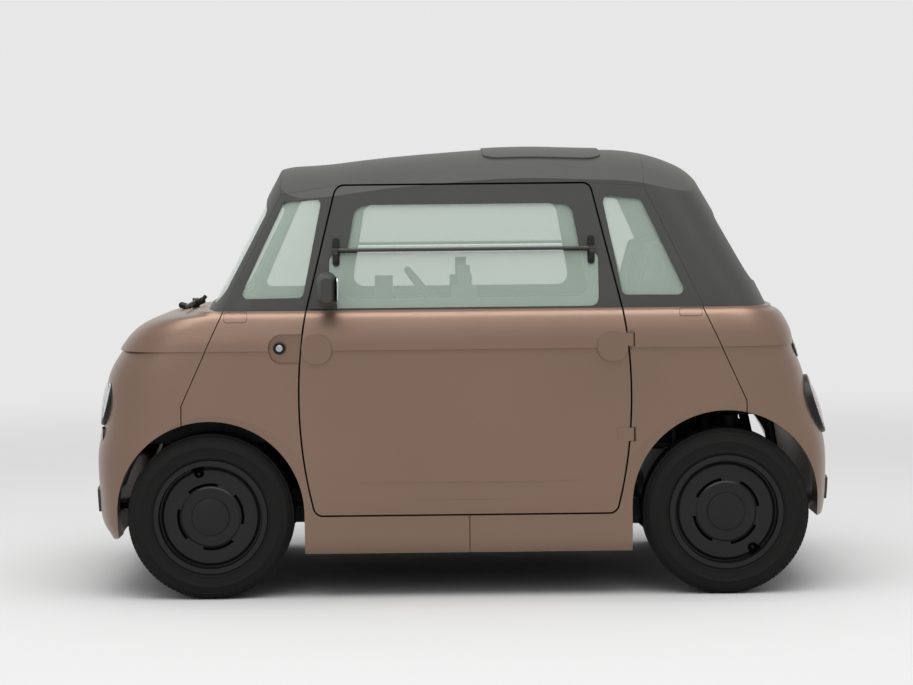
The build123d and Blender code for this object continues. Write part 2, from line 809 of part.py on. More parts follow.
def door_mirror():
    """Head, arm and triangular foot of the left door's mirror."""
    with BuildPart() as foot:
        with BuildSketch(Plane.XZ.offset(700)):
            with BuildLine():
                Polyline((-512, 972), (-418, 972), (-424, 1000), (-486, 1096), close=True)
            make_face()
            fillet(vertices(), 6)
        extrude(amount=-80)
    foot_solid = common(foot.part, cabin_volume(-6))
    with BuildPart() as head:
        with BuildSketch(Plane.XZ.offset(672)):
            with Locations((MIRROR_X, MIRROR_Z)):
                RectangleRounded(50, 96, 20)
        with BuildSketch(Plane.XZ.offset(672 + MIRROR_REACH * 0.5)):
            with Locations((MIRROR_X - 4, MIRROR_Z + 6)):
                RectangleRounded(62, 112, 26)
        with BuildSketch(Plane.XZ.offset(672 + MIRROR_REACH)):
            with Locations((MIRROR_X - 2, MIRROR_Z + 4)):
                RectangleRounded(36, 80, 16)
        loft()
    arm = tube_between((MIRROR_X - 4, -636, 1000), (MIRROR_X - 2, -690, 1008), 13)
    return without(joined(foot_solid, head.part, arm), cabin_outer)


mirror_body = door_mirror()
door_frame = without(door_frame, flap_bar, door_panel)
door_glass = without(joined(flap, pane), flap_bar)
for side_name, place in (("left", lambda solid: solid), ("right", to_right_door)):
    save(place(door_panel), f"door_{side_name}_panel")
    save(place(door_frame), f"door_{side_name}_frame")
    save(place(door_glass), f"door_{side_name}_glass")
    save(place(flap_bar), f"door_{side_name}_bar")

save(mirror_body, "door_left_mirror")
right_mirror = without(mirror(mirror_body, about=Plane.XZ), to_right_door(door_frame), to_right_door(door_panel))
save(max(right_mirror.solids(), key=lambda part: part.volume), "door_right_mirror")

pins = hinge_pins()
save(joined(pins, to_right_door(pins)), "door_hinges")

# Wheels
RIM_HALF = 75.0
DISC_Y = 58.0
CAP_RADIUS = 64.0
CAP_Y = 70.0
HUB_RADIUS = 60.0
SPINDLE_RADIUS = 14.0
SPINDLE_END = 48.0


def turned(points, x, y, outboard):
    """Ring or disc turned about a wheel's axle; points are radius and distance outboard."""
    with BuildPart() as ring:
        with BuildSketch(Plane(origin=(x, y, TYRE_RADIUS), x_dir=(1, 0, 0), z_dir=(0, 0, 1))):
            with BuildLine():
                Polyline(*[(r, outboard * d) for r, d in points], close=True)
            make_face()
        revolve(axis=Axis((x, y, TYRE_RADIUS), (0, 1, 0)))
    return ring.part


outer_half = [
    (BEAD_RADIUS, 62.0),
    (RIM_FLANGE_RADIUS + 8, 74.0),
    (RIM_FLANGE_RADIUS + 32, TYRE_WIDTH / 2 - 0.8),
    (RIM_FLANGE_RADIUS + 56, TYRE_WIDTH / 2),
    (TYRE_RADIUS - 14, TYRE_WIDTH / 2 - 8),
    (TYRE_RADIUS - 4, 61.0),
    (TYRE_RADIUS, 50.0),
]
TYRE_PROFILE = outer_half + [(radius, -y) for radius, y in reversed(outer_half)]
COVER_RADIUS = 166.0
PLATEAU_RADIUS = 102.0
RIM_PROFILE = [
    (0, CAP_Y),
    (CAP_RADIUS - 8, CAP_Y),
    (CAP_RADIUS - 2, CAP_Y - 2),
    (CAP_RADIUS, DISC_Y + 5),
    (PLATEAU_RADIUS - 5, DISC_Y + 4),
    (PLATEAU_RADIUS, DISC_Y),
    (COVER_RADIUS - 10, DISC_Y),
    (COVER_RADIUS, DISC_Y - 5),
    (COVER_RADIUS, 50),
    (COVER_RADIUS + 4, 50),
    (174, RIM_HALF + 2),
    (RIM_FLANGE_RADIUS, RIM_HALF + 2),
    (RIM_FLANGE_RADIUS, 70.6),
    (BEAD_RADIUS - 0.3, 62.6),
    (BEAD_RADIUS - 0.3, -62.6),
    (RIM_FLANGE_RADIUS, -70.6),
    (RIM_FLANGE_RADIUS, -RIM_HALF),
    (174, -RIM_HALF),
    (168, -60),
    (168, 42),
    (HUB_RADIUS, 42),
    (HUB_RADIUS, -8),
    (SPINDLE_RADIUS + RUNNING_GAP, -8),
    (SPINDLE_RADIUS + RUNNING_GAP, SPINDLE_END + 2),
    (0, SPINDLE_END + 2),
]
SLOT_RADIUS = 108.0
SLOT_WIDTH = 8.0
SLOT_DEPTH = 7.0
SLOT_ARC = 56.0
SLOT_COUNT = 4
VALVE_NOTCH = (44.0, 34.0)
VALVE_RADIUS = 158.0
VALVE_ANGLE = {"front": 104.0, "rear": -54.0}


def cover_slots(x, y, outboard, valve_angle):
    """Four arc-shaped slots around the raised middle, and the notch over the valve."""
    face = Plane(origin=(x, y + outboard * (DISC_Y + 1), TYRE_RADIUS), x_dir=(1, 0, 0), z_dir=(0, outboard, 0))
    with BuildPart() as slots:
        with BuildSketch(face):
            for k in range(SLOT_COUNT):
                start = valve_angle - SLOT_ARC / 2 + k * 360 / SLOT_COUNT
                SlotArc(CenterArc((0, 0), SLOT_RADIUS, start, SLOT_ARC), SLOT_WIDTH)
            with PolarLocations(VALVE_RADIUS, 1, start_angle=valve_angle):
                RectangleRounded(*VALVE_NOTCH, 15)
        extrude(amount=-SLOT_DEPTH - 1)
    return slots.part


for end_name, axle_x in (("front", FRONT_AXLE_X), ("rear", REAR_AXLE_X)):
    for side_name, side in (("left", -1), ("right", 1)):
        save(turned(TYRE_PROFILE, axle_x, side * TRACK_HALF, side), f"tyre_{end_name}_{side_name}")
        rim = turned(RIM_PROFILE, axle_x, side * TRACK_HALF, side)
        slots = cover_slots(axle_x, side * TRACK_HALF, side, VALVE_ANGLE[end_name])
        save(without(rim, slots), f"rim_{end_name}_{side_name}")

# Front knuckles
KNUCKLE_RADIUS = 16.0
KNUCKLE_HALF_HEIGHT = 95.0
for side_name, side in (("left", -1), ("right", 1)):
    knuckle = joined(
        standing_bar(
            FRONT_AXLE_X,
            side * KINGPIN_Y,
            TYRE_RADIUS - KNUCKLE_HALF_HEIGHT,
            TYRE_RADIUS + KNUCKLE_HALF_HEIGHT,
            KNUCKLE_RADIUS,
        ),
        tube_between(
            (FRONT_AXLE_X, side * KINGPIN_Y, TYRE_RADIUS),
            (FRONT_AXLE_X, side * (TRACK_HALF + SPINDLE_END), TYRE_RADIUS),
            SPINDLE_RADIUS,
        ),
        box_between(
            (FRONT_AXLE_X, side * (KINGPIN_Y - 12), TYRE_RADIUS - 40),
            (FRONT_AXLE_X + 100, side * (KINGPIN_Y + 4), TYRE_RADIUS - 24),
        ),
    )
    save(knuckle, f"knuckle_{side_name}")

# Running gear
ARM_Z = TYRE_RADIUS - KNUCKLE_HALF_HEIGHT - 13
UPPER_ARM_Z = TYRE_RADIUS + KNUCKLE_HALF_HEIGHT + 13
RAIL_Y = 300.0
RAIL_Z = 240.0
RAIL_SIZE = 50.0
RAIL_END_X = 1130.0
TOWER_Y = 340.0
TOWER_TOP_Z = 581.4


def beam(start, end, width, height):
    """Square tube, drawn solid, between two points in one level plane or one upright plane."""
    a, b = Vector(*start), Vector(*end)
    with BuildPart() as bar:
        with BuildSketch(Plane(origin=a, x_dir=(0, 0, 1) if abs((b - a).Z) < 1 else (1, 0, 0), z_dir=(b - a).normalized())):
            Rectangle(height, width)
        extrude(amount=(b - a).length)
    return bar.part


def front_corner():
    """Left lower and upper arms with their pivots, mounting plate and spring unit."""
    mount_y = -RAIL_Y - RAIL_SIZE / 2 - SEAT_GAP
    pieces = [
        box_between(
            (FRONT_AXLE_X - 60, mount_y - 30, ARM_Z - 14), (FRONT_AXLE_X + 60, mount_y, UPPER_ARM_Z + 14)
        ),
        tube_between((FRONT_AXLE_X, -400, ARM_Z + 5), (FRONT_AXLE_X, -355, TOWER_TOP_Z - 25), 28),
        standing_bar(FRONT_AXLE_X, -355, TOWER_TOP_Z - 35, TOWER_TOP_Z, 32),
    ]
    for arm_z in (ARM_Z, UPPER_ARM_Z):
        pieces += [
            tube_between((FRONT_AXLE_X - 70, mount_y - 22, arm_z), (FRONT_AXLE_X, -KINGPIN_Y, arm_z), 11),
            tube_between((FRONT_AXLE_X + 70, mount_y - 22, arm_z), (FRONT_AXLE_X, -KINGPIN_Y, arm_z), 11),
            standing_bar(FRONT_AXLE_X, -KINGPIN_Y, arm_z - 12.5, arm_z + 12.5, 15),
            tube_between((FRONT_AXLE_X - 85, mount_y - 22, arm_z), (FRONT_AXLE_X + 85, mount_y - 22, arm_z), 14),
        ]
    return joined(*pieces)


def left_and_right(solid):
    return [solid, mirror(solid, about=Plane.XZ)]


front_suspension = joined(
    *left_and_right(front_corner()),
    box_between((FRONT_AXLE_X - 30, -RAIL_Y - 40, ARM_Z - 14), (FRONT_AXLE_X + 30, RAIL_Y + 40, ARM_Z + 30)),
)
rear_corner = joined(
    tube_between((REAR_AXLE_X, -430, TYRE_RADIUS), (600, -430, TYRE_RADIUS), 20),
    tube_between((REAR_AXLE_X + 10, -440, TYRE_RADIUS), (REAR_AXLE_X + 40, -400, TOWER_TOP_Z - 25), 28),
    standing_bar(REAR_AXLE_X + 40, -400, TOWER_TOP_Z - 35, TOWER_TOP_Z, 32),
)
rear_suspension = joined(
    tube_between((REAR_AXLE_X, -530, TYRE_RADIUS), (REAR_AXLE_X, 530, TYRE_RADIUS), 26),
    tube_between(
        (REAR_AXLE_X, -TRACK_HALF - SPINDLE_END, TYRE_RADIUS),
        (REAR_AXLE_X, TRACK_HALF + SPINDLE_END, TYRE_RADIUS),
        SPINDLE_RADIUS,
    ),
    *left_and_right(rear_corner),
)
TOW_EYE_X = 1155.0
TOW_EYE_Y = 200.0
TOW_EYE_BORE = 12.0
TOW_EYE_PLATE = 12.0
TUBE_RADIUS = 18.0
BUTT_GAP = 0.3
SMALLEST_OFFCUT = 30000.0
TUBE_Z = 600.0
BRACE_Z = 700.0
POST_TOP_Z = 930.0
DASH_TUBE_Z = 860.0


def frame_of_bars():
    """Rails, cross-members and tubes, each coped to those it meets."""
    low, high = RAIL_Z - RAIL_SIZE / 2, RAIL_Z + RAIL_SIZE / 2
    half = RAIL_SIZE / 2
    blocks_side = [
        ((-RAIL_END_X, -RAIL_Y - half, low), (RAIL_END_X, -RAIL_Y + half, high)),
        ((-530, -630, 175), (552, -570, 255)),
        ((530, -455, low), (599.7, -405, 300)),
        ((-420, -655, 190), (-320, -600, 240)),
        ((320, -655, 190), (420, -600, 240)),
    ]
    blocks_across = [
        ((-540, -560, low), (-490.3, 560, high)),
        ((490.3, -560, low), (528, 560, high)),
        ((-RAIL_END_X, -RAIL_Y, low), (-RAIL_END_X + 40, RAIL_Y, high)),
        ((RAIL_END_X - 40, -RAIL_Y, low), (RAIL_END_X, RAIL_Y, high)),
        ((700, -RAIL_Y, low), (740, RAIL_Y, high)),
        ((-1240, -90, RAIL_Z), (-RAIL_END_X - BUTT_GAP, 90, RAIL_Z + 20)),
        ((RAIL_END_X + BUTT_GAP, -90, RAIL_Z), (1230, 90, RAIL_Z + 20)),
    ]
    tubes_side = [
        ((FRONT_POST_X, -POST_Y, 255.3), (FRONT_POST_X, -POST_Y, POST_TOP_Z)),
        ((REAR_POST_X, -POST_Y, 255.3), (REAR_POST_X, -POST_Y, POST_TOP_Z)),
        ((REAR_POST_X, -POST_Y, BRACE_Z), (715, -560, BRACE_Z)),
        ((715, -560, BRACE_Z), (715, -400, TUBE_Z)),
        ((FRONT_POST_X - 15, -POST_Y, BRACE_Z), (-560, -370, TUBE_Z)),
        ((-530, -370, TUBE_Z), (-1000, -370, TUBE_Z)),
        ((-985, -370, TUBE_Z), (-1108, -RAIL_Y, high)),
        ((690, -400, TUBE_Z), (1060, -400, TUBE_Z)),
        ((760, -400, TUBE_Z), (760, -RAIL_Y, high)),
        ((1045, -400, TUBE_Z), (1108, -RAIL_Y, high)),
    ]
    tubes_across = [
        ((FRONT_POST_X, -POST_Y, DASH_TUBE_Z + 1), (FRONT_POST_X, POST_Y, DASH_TUBE_Z + 1)),
        ((-960, -370, TUBE_Z), (-960, 370, TUBE_Z)),
        ((1020, -400, TUBE_Z), (1020, 400, TUBE_Z)),
    ]

    def grown(bar, gap):
        (start, end), round_bar = bar
        if round_bar:
            past_end = (Vector(*end) - Vector(*start)).normalized() * gap
            return tube_between(tuple(Vector(*start) - past_end), tuple(Vector(*end) + past_end), TUBE_RADIUS + gap)
        return box_between(
            tuple(min(a, b) - gap for a, b in zip(start, end)), tuple(max(a, b) + gap for a, b in zip(start, end))
        )

    def flipped(bar):
        return tuple((x, -y, z) for x, y, z in bar)

    bars = [(bar, False) for bar in blocks_side + [flipped(bar) for bar in blocks_side] + blocks_across]
    bars += [(bar, True) for bar in tubes_side + [flipped(bar) for bar in tubes_side] + tubes_across]
    placed = []
    solids = []
    for bar in bars:
        solid = grown(bar, 0)
        box = solid.bounding_box()
        for earlier, earlier_box in placed:
            near = all(
                getattr(box.min, k) < getattr(earlier_box.max, k) + 1
                and getattr(earlier_box.min, k) < getattr(box.max, k) + 1
                for k in "XYZ"
            )
            if near:
                solid = without(solid, grown(earlier, BUTT_GAP))
        solids += [part for part in solid.solids() if part.volume > SMALLEST_OFFCUT]
        placed.append((bar, box))
    return solids


space_frame = frame_of_bars()
save(front_suspension, "front_suspension")
save(rear_suspension, "rear_suspension")
tow_eyes = [
    without(
        box_between(
            (end * (RAIL_END_X + BUTT_GAP), -TOW_EYE_Y - 22, RAIL_Z - TOW_EYE_PLATE / 2),
            (end * (TOW_EYE_X + 20), -TOW_EYE_Y + 22, RAIL_Z + TOW_EYE_PLATE / 2),
        ),
        standing_bar(end * TOW_EYE_X, -TOW_EYE_Y, RAIL_Z - 50, RAIL_Z + 50, TOW_EYE_BORE),
    )
    for end in (-1, 1)
]
notch = tube_between((REAR_AXLE_X, -500, TYRE_RADIUS), (REAR_AXLE_X, 500, TYRE_RADIUS), 26.5)
space_frame = joined(*[without(bar, notch, lower_wall) for bar in space_frame])
save(space_frame, "space_frame")
save(joined(*tow_eyes), "tow_eyes")
save(door_seal(), "door_seals")


def wheel_liner(x, z, from_angle, to_angle, inner_y, outer_y):
    """Curved inner arch over a left wheel, between two angles from the horizontal, forwards being 180."""
    with BuildPart() as liner:
        with BuildSketch(Plane.XZ.offset(-outer_y)):
            with Locations((x, z)):
                Circle(ARCH_RADIUS + LINER_GAP + LINER_WALL)
                Circle(ARCH_RADIUS + LINER_GAP, mode=Mode.SUBTRACT)
            with BuildLine():
                reach = 2 * ARCH_RADIUS
                middle = radians((from_angle + to_angle) / 2)
                Polyline(
                    (x, z),
                    (x + reach * cos(radians(from_angle)), z + reach * sin(radians(from_angle))),
                    (x + 1.6 * reach * cos(middle), z + 1.6 * reach * sin(middle)),
                    (x + reach * cos(radians(to_angle)), z + reach * sin(radians(to_angle))),
                    close=True,
                )
            make_face(mode=Mode.INTERSECT)
        extrude(amount=outer_y - inner_y)
    return liner.part


LINER_INNER_Y = 420.0
left_liners = [
    without(
        wheel_liner(FRONT_AXLE_X, FRONT_ARCH_Z, 8, 165, -LINER_INNER_Y, -690), lower_wall
    ),
    without(wheel_liner(REAR_AXLE_X, REAR_ARCH_Z, 94, 172, -LINER_INNER_Y, -690), lower_wall),
]
left_liners = [max(liner.solids(), key=lambda part: part.volume) for liner in left_liners]
save(joined(*[half for liner in left_liners for half in left_and_right(liner)]), "wheel_liners")

# Cabin floor, bulkheads and the parcel shelf
floor_tub = joined(
    box_between((-490, -560, 266), (528, 560, 280)),
    box_between((-505, -560, 266), (-491, 560, 840)),
    box_between((514, -560, 266), (528, 560, 480)),
    box_between((514, -372, 470), (735, 372, 484)),
    box_between((721, -372, 470), (735, 372, 760)),
    box_between((721, -500, 746), (1040, 500, 760)),
)
save(floor_tub, "floor_tub")
save(box_between((150, -280, 280.3), (510, 280, 440)), "battery_case")
save(
    joined(
        box_between((640, -150, 265.3), (800, 150, 440)),
        tube_between((790, -140, 350), (790, 40, 350), 60),
    ),
    "motor_unit",
)

# Seats
SEAT_Y = 300.0
SEAT_HALF_WIDTH = 225.0
SEAT_EDGE_RADIUS = 26.0
cushion_profile = [(150, 500), (150, 604), (200, 624), (532, 594), (544, 500)]
backrest_profile = [(548, 500), (538, 606), (594, 1010), (640, 1180), (700, 1180), (686, 1010), (650, 560), (610, 500)]


def padded_block(profile, y):
    """Seat block with rounded corners and edges, centred at one side of the cabin."""
    with BuildPart() as block:
        with BuildSketch(Plane.XZ.offset(-y)):
            with BuildLine():
                Polyline(*profile, close=True)
            make_face()
            fillet(vertices(), 20)
        extrude(amount=SEAT_HALF_WIDTH, both=True)
        fillet(faces().filter_by(Axis.Y).edges(), SEAT_EDGE_RADIUS * 0.7)
    return block.part


seats = [padded_block(profile, y) for y in (-SEAT_Y, SEAT_Y) for profile in (cushion_profile, backrest_profile)]
save(joined(*seats), "seats")
save(both_sides(box_between((190, -480, 280.3), (510, -295, 499.7))), "seat_plinths")

# Dashboard, column and steering wheel
WHEEL_CENTRE = (-90.0, -330.0, 965.0)
WHEEL_TILT = 38.0
WHEEL_RING = 160.0
WHEEL_GRIP = 11.0
to_driver = Vector(cos(radians(WHEEL_TILT)), 0, sin(radians(WHEEL_TILT)))
centre = Vector(*WHEEL_CENTRE)


def along_column(distance):
    return tuple(centre + to_driver * distance)


dash_profile = [(-530, 760), (-860, 800), (-860, 925), (-520, 925), (-400, 905), (-350, 860), (-360, 770), (-420, 740)]
with BuildPart() as dash:
    with BuildSketch(Plane.XZ):
        with BuildLine():
            Polyline(*dash_profile, close=True)
        make_face()
        fillet(vertices(), 22)
    extrude(amount=585, both=True)
dashboard = joined(
    without(
        dash.part,
        *left_and_right(standing_bar(FRONT_POST_X, -POST_Y, 300, 940, 24)),
        *left_and_right(box_between((-900, -600, 700), (-590, -520, 940))),
        tube_between((FRONT_POST_X, -612, DASH_TUBE_Z + 1), (FRONT_POST_X, 612, DASH_TUBE_Z + 1), 18.3),
        box_between((-505.3, -600, 700), (-490.7, 600, 840.3)),
    ),
    tube_between(along_column(-330), along_column(-30), 28),
    box_between((-300, -400, 900), (-240, -260, 1070)),
    box_between((-420, -400, 880), (-250, -260, 960)),
)
save(dashboard, "dashboard")
with BuildPart() as ring:
    with BuildSketch(Plane(origin=centre, x_dir=(0, 1, 0), z_dir=to_driver.cross(Vector(0, 1, 0)))):
        with Locations((WHEEL_RING, 0)):
            Circle(WHEEL_GRIP)
    revolve(axis=Axis(centre, to_driver))
in_plane_down = Vector(sin(radians(WHEEL_TILT)), 0, -cos(radians(WHEEL_TILT)))
spoke_ends = [Vector(0, 1, 0), Vector(0, -1, 0), in_plane_down]
steering_wheel = joined(
    tube_between(along_column(-29.7), along_column(10), 34),
    tube_between(along_column(-6), along_column(14), 54),
    *[tube_between(tuple(centre + end * 45), tuple(centre + end * WHEEL_RING), 7) for end in spoke_ends],
    ring.part,
)
save(steering_wheel, "steering_wheel")

# Lamps, bumper pads and wiper
LAMP_Y = 470.0
PAD_PROUD = 8.0
PAD_SUNK = 12.0
PAD_OUTER_Y = 460.0
PAD_INNER_Y = 300.0
HEADLAMP_Z = 673.0
HEADLAMP_RADIUS = 101.0
TAIL_LAMP_Z = 622.0
TAIL_LAMP_RADIUS = 104.0


def round_lamp(face_point, outward, radius, depth, proud, dome):
    """Round lamp with a rim and a domed lens, set in the skin at a point and facing outward."""
    rim = radius * 0.12
    lens = radius - rim
    dome_radius = (lens**2 + dome**2) / (2 * dome)
    with BuildPart() as lamp:
        with BuildSketch(Plane.XZ):
            with BuildLine():
                Polyline(
                    (0, -depth), (radius, -depth), (radius, proud - rim * 0.4), (radius - rim * 0.4, proud), (lens, proud)
                )
                RadiusArc((lens, proud), (0, proud + dome), -dome_radius)
                Line((0, proud + dome), (0, -depth))
            make_face()
        revolve(axis=Axis.Z)
    return lamp.part.moved(Plane(origin=face_point, z_dir=outward).location)


def bumper_pad(end, low_z, high_z):
    """Left bumper pad, standing a little proud of the skin that it follows."""
    block = box_between((end * BIG, -PAD_OUTER_Y, low_z), (end * 900, -PAD_INNER_Y, high_z))
    return common(block, shell(lower_volume(-PAD_PROUD), lower_volume(PAD_SUNK)))


headlamp = round_lamp((-1207, -LAMP_Y, HEADLAMP_Z), (-1, -0.16, 0.25), HEADLAMP_RADIUS, 70, 9, 14)
indicator = round_lamp((-1225, -LAMP_Y - 35, 541), (-1, -0.2, 0.03), 32, 25, 6, 6)
tail_lamp = round_lamp((1193, -LAMP_Y, TAIL_LAMP_Z), (1, -0.16, 0.33), TAIL_LAMP_RADIUS, 70, 15, 10)
fog_lamp = round_lamp((1127, -LAMP_Y, 815), (1, -0.16, 0.33), 34, 30, 8, 4)
front_lamps = left_and_right(headlamp) + left_and_right(indicator)
tail_lamps = left_and_right(tail_lamp) + left_and_right(fog_lamp)
front_pads = left_and_right(bumper_pad(-1, 277, 353))
rear_pads = left_and_right(bumper_pad(1, 294, 366))
with BuildPart() as wiper_blade:
    with BuildSketch(Plane.XZ.offset(20)):
        with Locations((-955, 974)):
            RectangleRounded(9, 16, 3)
    with BuildSketch(Plane.XZ.offset(420)):
        with Locations((-948, 974)):
            RectangleRounded(7, 11, 3)
    loft()
wiper = joined(
    standing_bar(-960, 40, 900, 968, 15),
    standing_bar(-960, 40, 960, 986, 11),
    beam((-960, 60, 978), (-955, -20, 976), 16, 14),
    wiper_blade.part,
)
save(joined(*front_lamps), "front_lamps")
save(joined(*tail_lamps), "tail_lamps")
save(joined(*front_pads, *rear_pads), "bumper_pads")
save(wiper, "wiper")
save(without(front_panel, *front_lamps, *front_pads, wiper), "front_panel")
save(without(rear_panel, *tail_lamps, *rear_pads), "rear_panel")
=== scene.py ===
# %% [markdown]
# # A two-seat electric microcar, dressed for its picture
# The imported CAD model comes in first. It fixes the size and place of every piece, so whatever is modelled here
# sits on it without any fitting.

# %% Load the frame
import json
from math import cos, sin, pi, radians, hypot, atan2

import bmesh
import bpy
from mathutils import Matrix, Quaternion, Vector
from mathutils.bvhtree import BVHTree


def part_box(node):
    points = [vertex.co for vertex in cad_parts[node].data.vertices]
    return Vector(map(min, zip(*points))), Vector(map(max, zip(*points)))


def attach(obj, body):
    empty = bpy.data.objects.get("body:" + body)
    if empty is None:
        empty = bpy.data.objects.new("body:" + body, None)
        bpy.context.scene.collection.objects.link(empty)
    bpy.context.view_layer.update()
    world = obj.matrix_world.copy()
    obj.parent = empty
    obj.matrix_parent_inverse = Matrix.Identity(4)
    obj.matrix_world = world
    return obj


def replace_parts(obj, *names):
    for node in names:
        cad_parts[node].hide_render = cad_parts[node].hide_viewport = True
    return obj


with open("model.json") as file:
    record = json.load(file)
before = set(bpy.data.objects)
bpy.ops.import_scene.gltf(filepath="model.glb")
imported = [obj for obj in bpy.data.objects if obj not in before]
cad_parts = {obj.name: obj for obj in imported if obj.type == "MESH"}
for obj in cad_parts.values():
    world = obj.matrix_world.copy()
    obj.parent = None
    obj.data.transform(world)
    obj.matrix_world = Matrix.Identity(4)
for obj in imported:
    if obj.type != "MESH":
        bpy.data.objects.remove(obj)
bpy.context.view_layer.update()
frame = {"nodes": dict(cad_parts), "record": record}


def node_box(name):
    low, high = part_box(name)
    return low, high, (low + high) / 2


# %% [markdown]
# ## Finishes
# A finish is a Principled shader with a few nodes in front of it. Writing those nodes as Python sums keeps them
# readable: the small class below wraps a socket, and adding or multiplying two of them adds the Math node.

# %% A socket that can be added and multiplied
class Reading:
    """A number that changes over a surface, as the output of a node."""

    def __init__(self, finish, socket):
        self.finish, self.socket = finish, socket

    def math(self, operation, *values):
        return self.finish.node("ShaderNodeMath", {"operation": operation}, dict(enumerate(values)))

    def __add__(self, other):
        return self.math("ADD", self, other)

    __radd__ = __add__

    def __sub__(self, other):
        return self.math("SUBTRACT", self, other)

    def __rsub__(self, other):
        return self.math("SUBTRACT", other, self)

    def __mul__(self, other):
        return self.math("MULTIPLY", self, other)

    __rmul__ = __mul__


class Finish:
    """A material with its Principled shader, and one method that adds any other node."""

    def __init__(self, name, colour, roughness, metallic=0.0, **constants):
        self.material = bpy.data.materials.new(name)
        self.material.use_nodes = True
        self.tree = self.material.node_tree
        self.shader = self.tree.nodes["Principled BSDF"]
        self.shader.inputs["Base Color"].default_value = (*colour, 1)
        self.shader.inputs["Roughness"].default_value = roughness
        self.shader.inputs["Metallic"].default_value = metallic
        for socket, value in constants.items():
            self.shader.inputs[socket.replace("_", " ")].default_value = value

    def node(self, kind, settings, inputs, output=0):
        made = self.tree.nodes.new(kind)
        for key, value in settings.items():
            setattr(made, key, value)
        for key, value in inputs.items():
            if isinstance(value, Reading):
                self.tree.links.new(value.socket, made.inputs[key])
            else:
                made.inputs[key].default_value = value
        return Reading(self, made.outputs[output])

    def place(self):
        return self.node("ShaderNodeTexCoord", {}, {}, "Object")

    def noise(self, scale, detail=2.0, roughness=0.5):
        return self.node(
            "ShaderNodeTexNoise",
            {},
            {"Vector": self.place(), "Scale": scale, "Detail": detail, "Roughness": roughness},
        )

    def feed(self, socket, reading):
        self.tree.links.new(reading.socket, self.shader.inputs[socket])

    def two_shades(self, mask, first, second):
        return self.node(
            "ShaderNodeMix",
            {"data_type": "RGBA"},
            {"Factor": mask, "A": (*first, 1), "B": (*second, 1)},
            "Result",
        )

    def bump(self, height, strength, distance):
        self.feed(
            "Normal",
            self.node("ShaderNodeBump", {}, {"Height": height, "Strength": strength, "Distance": distance}),
        )


def srgb(*levels):
    """Linear colour from the 0 to 255 levels of a picture."""
    return tuple((c / 255 / 12.92) if c <= 10 else ((c / 255 + 0.055) / 1.055) ** 2.4 for c in levels)


# %% [markdown]
# ## Paint, plastic, glass and rubber
# The real panels are moulded plastic with a matt metallic lacquer: the flakes are far smaller than a pixel, so
# they show as a slight sparkle in roughness and a slow drift of colour. The dark upper body is grained plastic.
# Noise on Object coordinates gives both, because such a pattern stays on the panel when the panel moves.

# %% Body paint
paint = Finish("body_paint", srgb(130, 107, 93), 0.34, 0.85, Coat_Weight=0.1, Coat_Roughness=0.35)
flake = paint.noise(2600.0, 2.0)
drift = paint.noise(2.2, 3.0)
paint.feed("Base Color", paint.two_shades(flake * 0.5 + drift * 0.5, srgb(121, 99, 85), srgb(140, 116, 102)))
paint.feed("Roughness", flake * 0.12 + 0.27)
paint.bump(paint.noise(700.0, 2.0), 0.05, 0.0004)

# %% [markdown]
# The dark plastics differ in grain: fine on the upper body and the wheel covers, pebbled inside the cabin.

# %% Dark plastics
trim = Finish("upper_body_plastic", srgb(50, 50, 48), 0.46, 0.0, Coat_Weight=0.05, Coat_Roughness=0.4)
grain = trim.noise(900.0, 3.0)
trim.feed("Base Color", trim.two_shades(trim.noise(3.0, 2.0), srgb(38, 38, 36), srgb(49, 49, 46)))
trim.feed("Roughness", grain * 0.16 + 0.42)
trim.bump(grain, 0.12, 0.0003)

black = Finish("wheel_black", srgb(16, 16, 16), 0.36, 0.0, Specular_IOR_Level=0.3)
black_grain = black.noise(1200.0, 3.0)
black.feed("Base Color", black.two_shades(black.noise(6.0, 2.0), srgb(11, 11, 11), srgb(19, 19, 19)))
black.feed("Roughness", black_grain * 0.16 + 0.24)
black.bump(black_grain, 0.15, 0.0003)

moulded = Finish("interior_plastic", srgb(48, 48, 49), 0.62)
leathergrain = moulded.node(
    "ShaderNodeTexVoronoi", {"feature": "DISTANCE_TO_EDGE"}, {"Vector": moulded.place(), "Scale": 420.0}, "Distance"
)
moulded.feed("Base Color", moulded.two_shades(moulded.noise(8.0, 2.0), srgb(30, 30, 31), srgb(44, 44, 45)))
moulded.feed("Roughness", leathergrain * 0.5 + 0.5)
moulded.bump(leathergrain, 0.3, 0.0004)

# %% [markdown]
# Rubber and steel carry a little road dust, which lightens and dulls them in patches. Glass is mostly clear.

# %% Rubber, steel and glass
rubber = Finish("tyre_rubber", srgb(16, 16, 16), 0.72, 0.0, Specular_IOR_Level=0.18)
dust = rubber.noise(14.0, 4.0)
rubber.feed("Base Color", rubber.two_shades(dust, srgb(12, 12, 12), srgb(26, 25, 24)))
rubber.feed("Roughness", dust * 0.25 + 0.6)
rubber.bump(rubber.noise(500.0, 3.0), 0.2, 0.0004)

# Painted shade: a near-black for what lies deep in the slots and the valve's notch of the wheel covers.
shadow = Finish("slot_shadow", srgb(5, 5, 5), 0.9, 0.0, Specular_IOR_Level=0.05)
shadow.feed("Roughness", shadow.noise(300.0, 2.0) * 0.1 + 0.85)

steel = Finish("frame_steel", srgb(24, 24, 25), 0.5, 0.2, Specular_IOR_Level=0.35)
steel_dust = steel.noise(30.0, 4.0)
steel.feed("Base Color", steel.two_shades(steel_dust, srgb(18, 18, 19), srgb(36, 35, 34)))
steel.feed("Roughness", steel_dust * 0.3 + 0.38)
steel.bump(steel.noise(400.0, 2.0), 0.1, 0.0004)

bare_metal = Finish("bare_metal", srgb(176, 177, 178), 0.3, 1.0)
brushed = bare_metal.noise(260.0, 2.0)
bare_metal.feed("Roughness", brushed * 0.2 + 0.22)

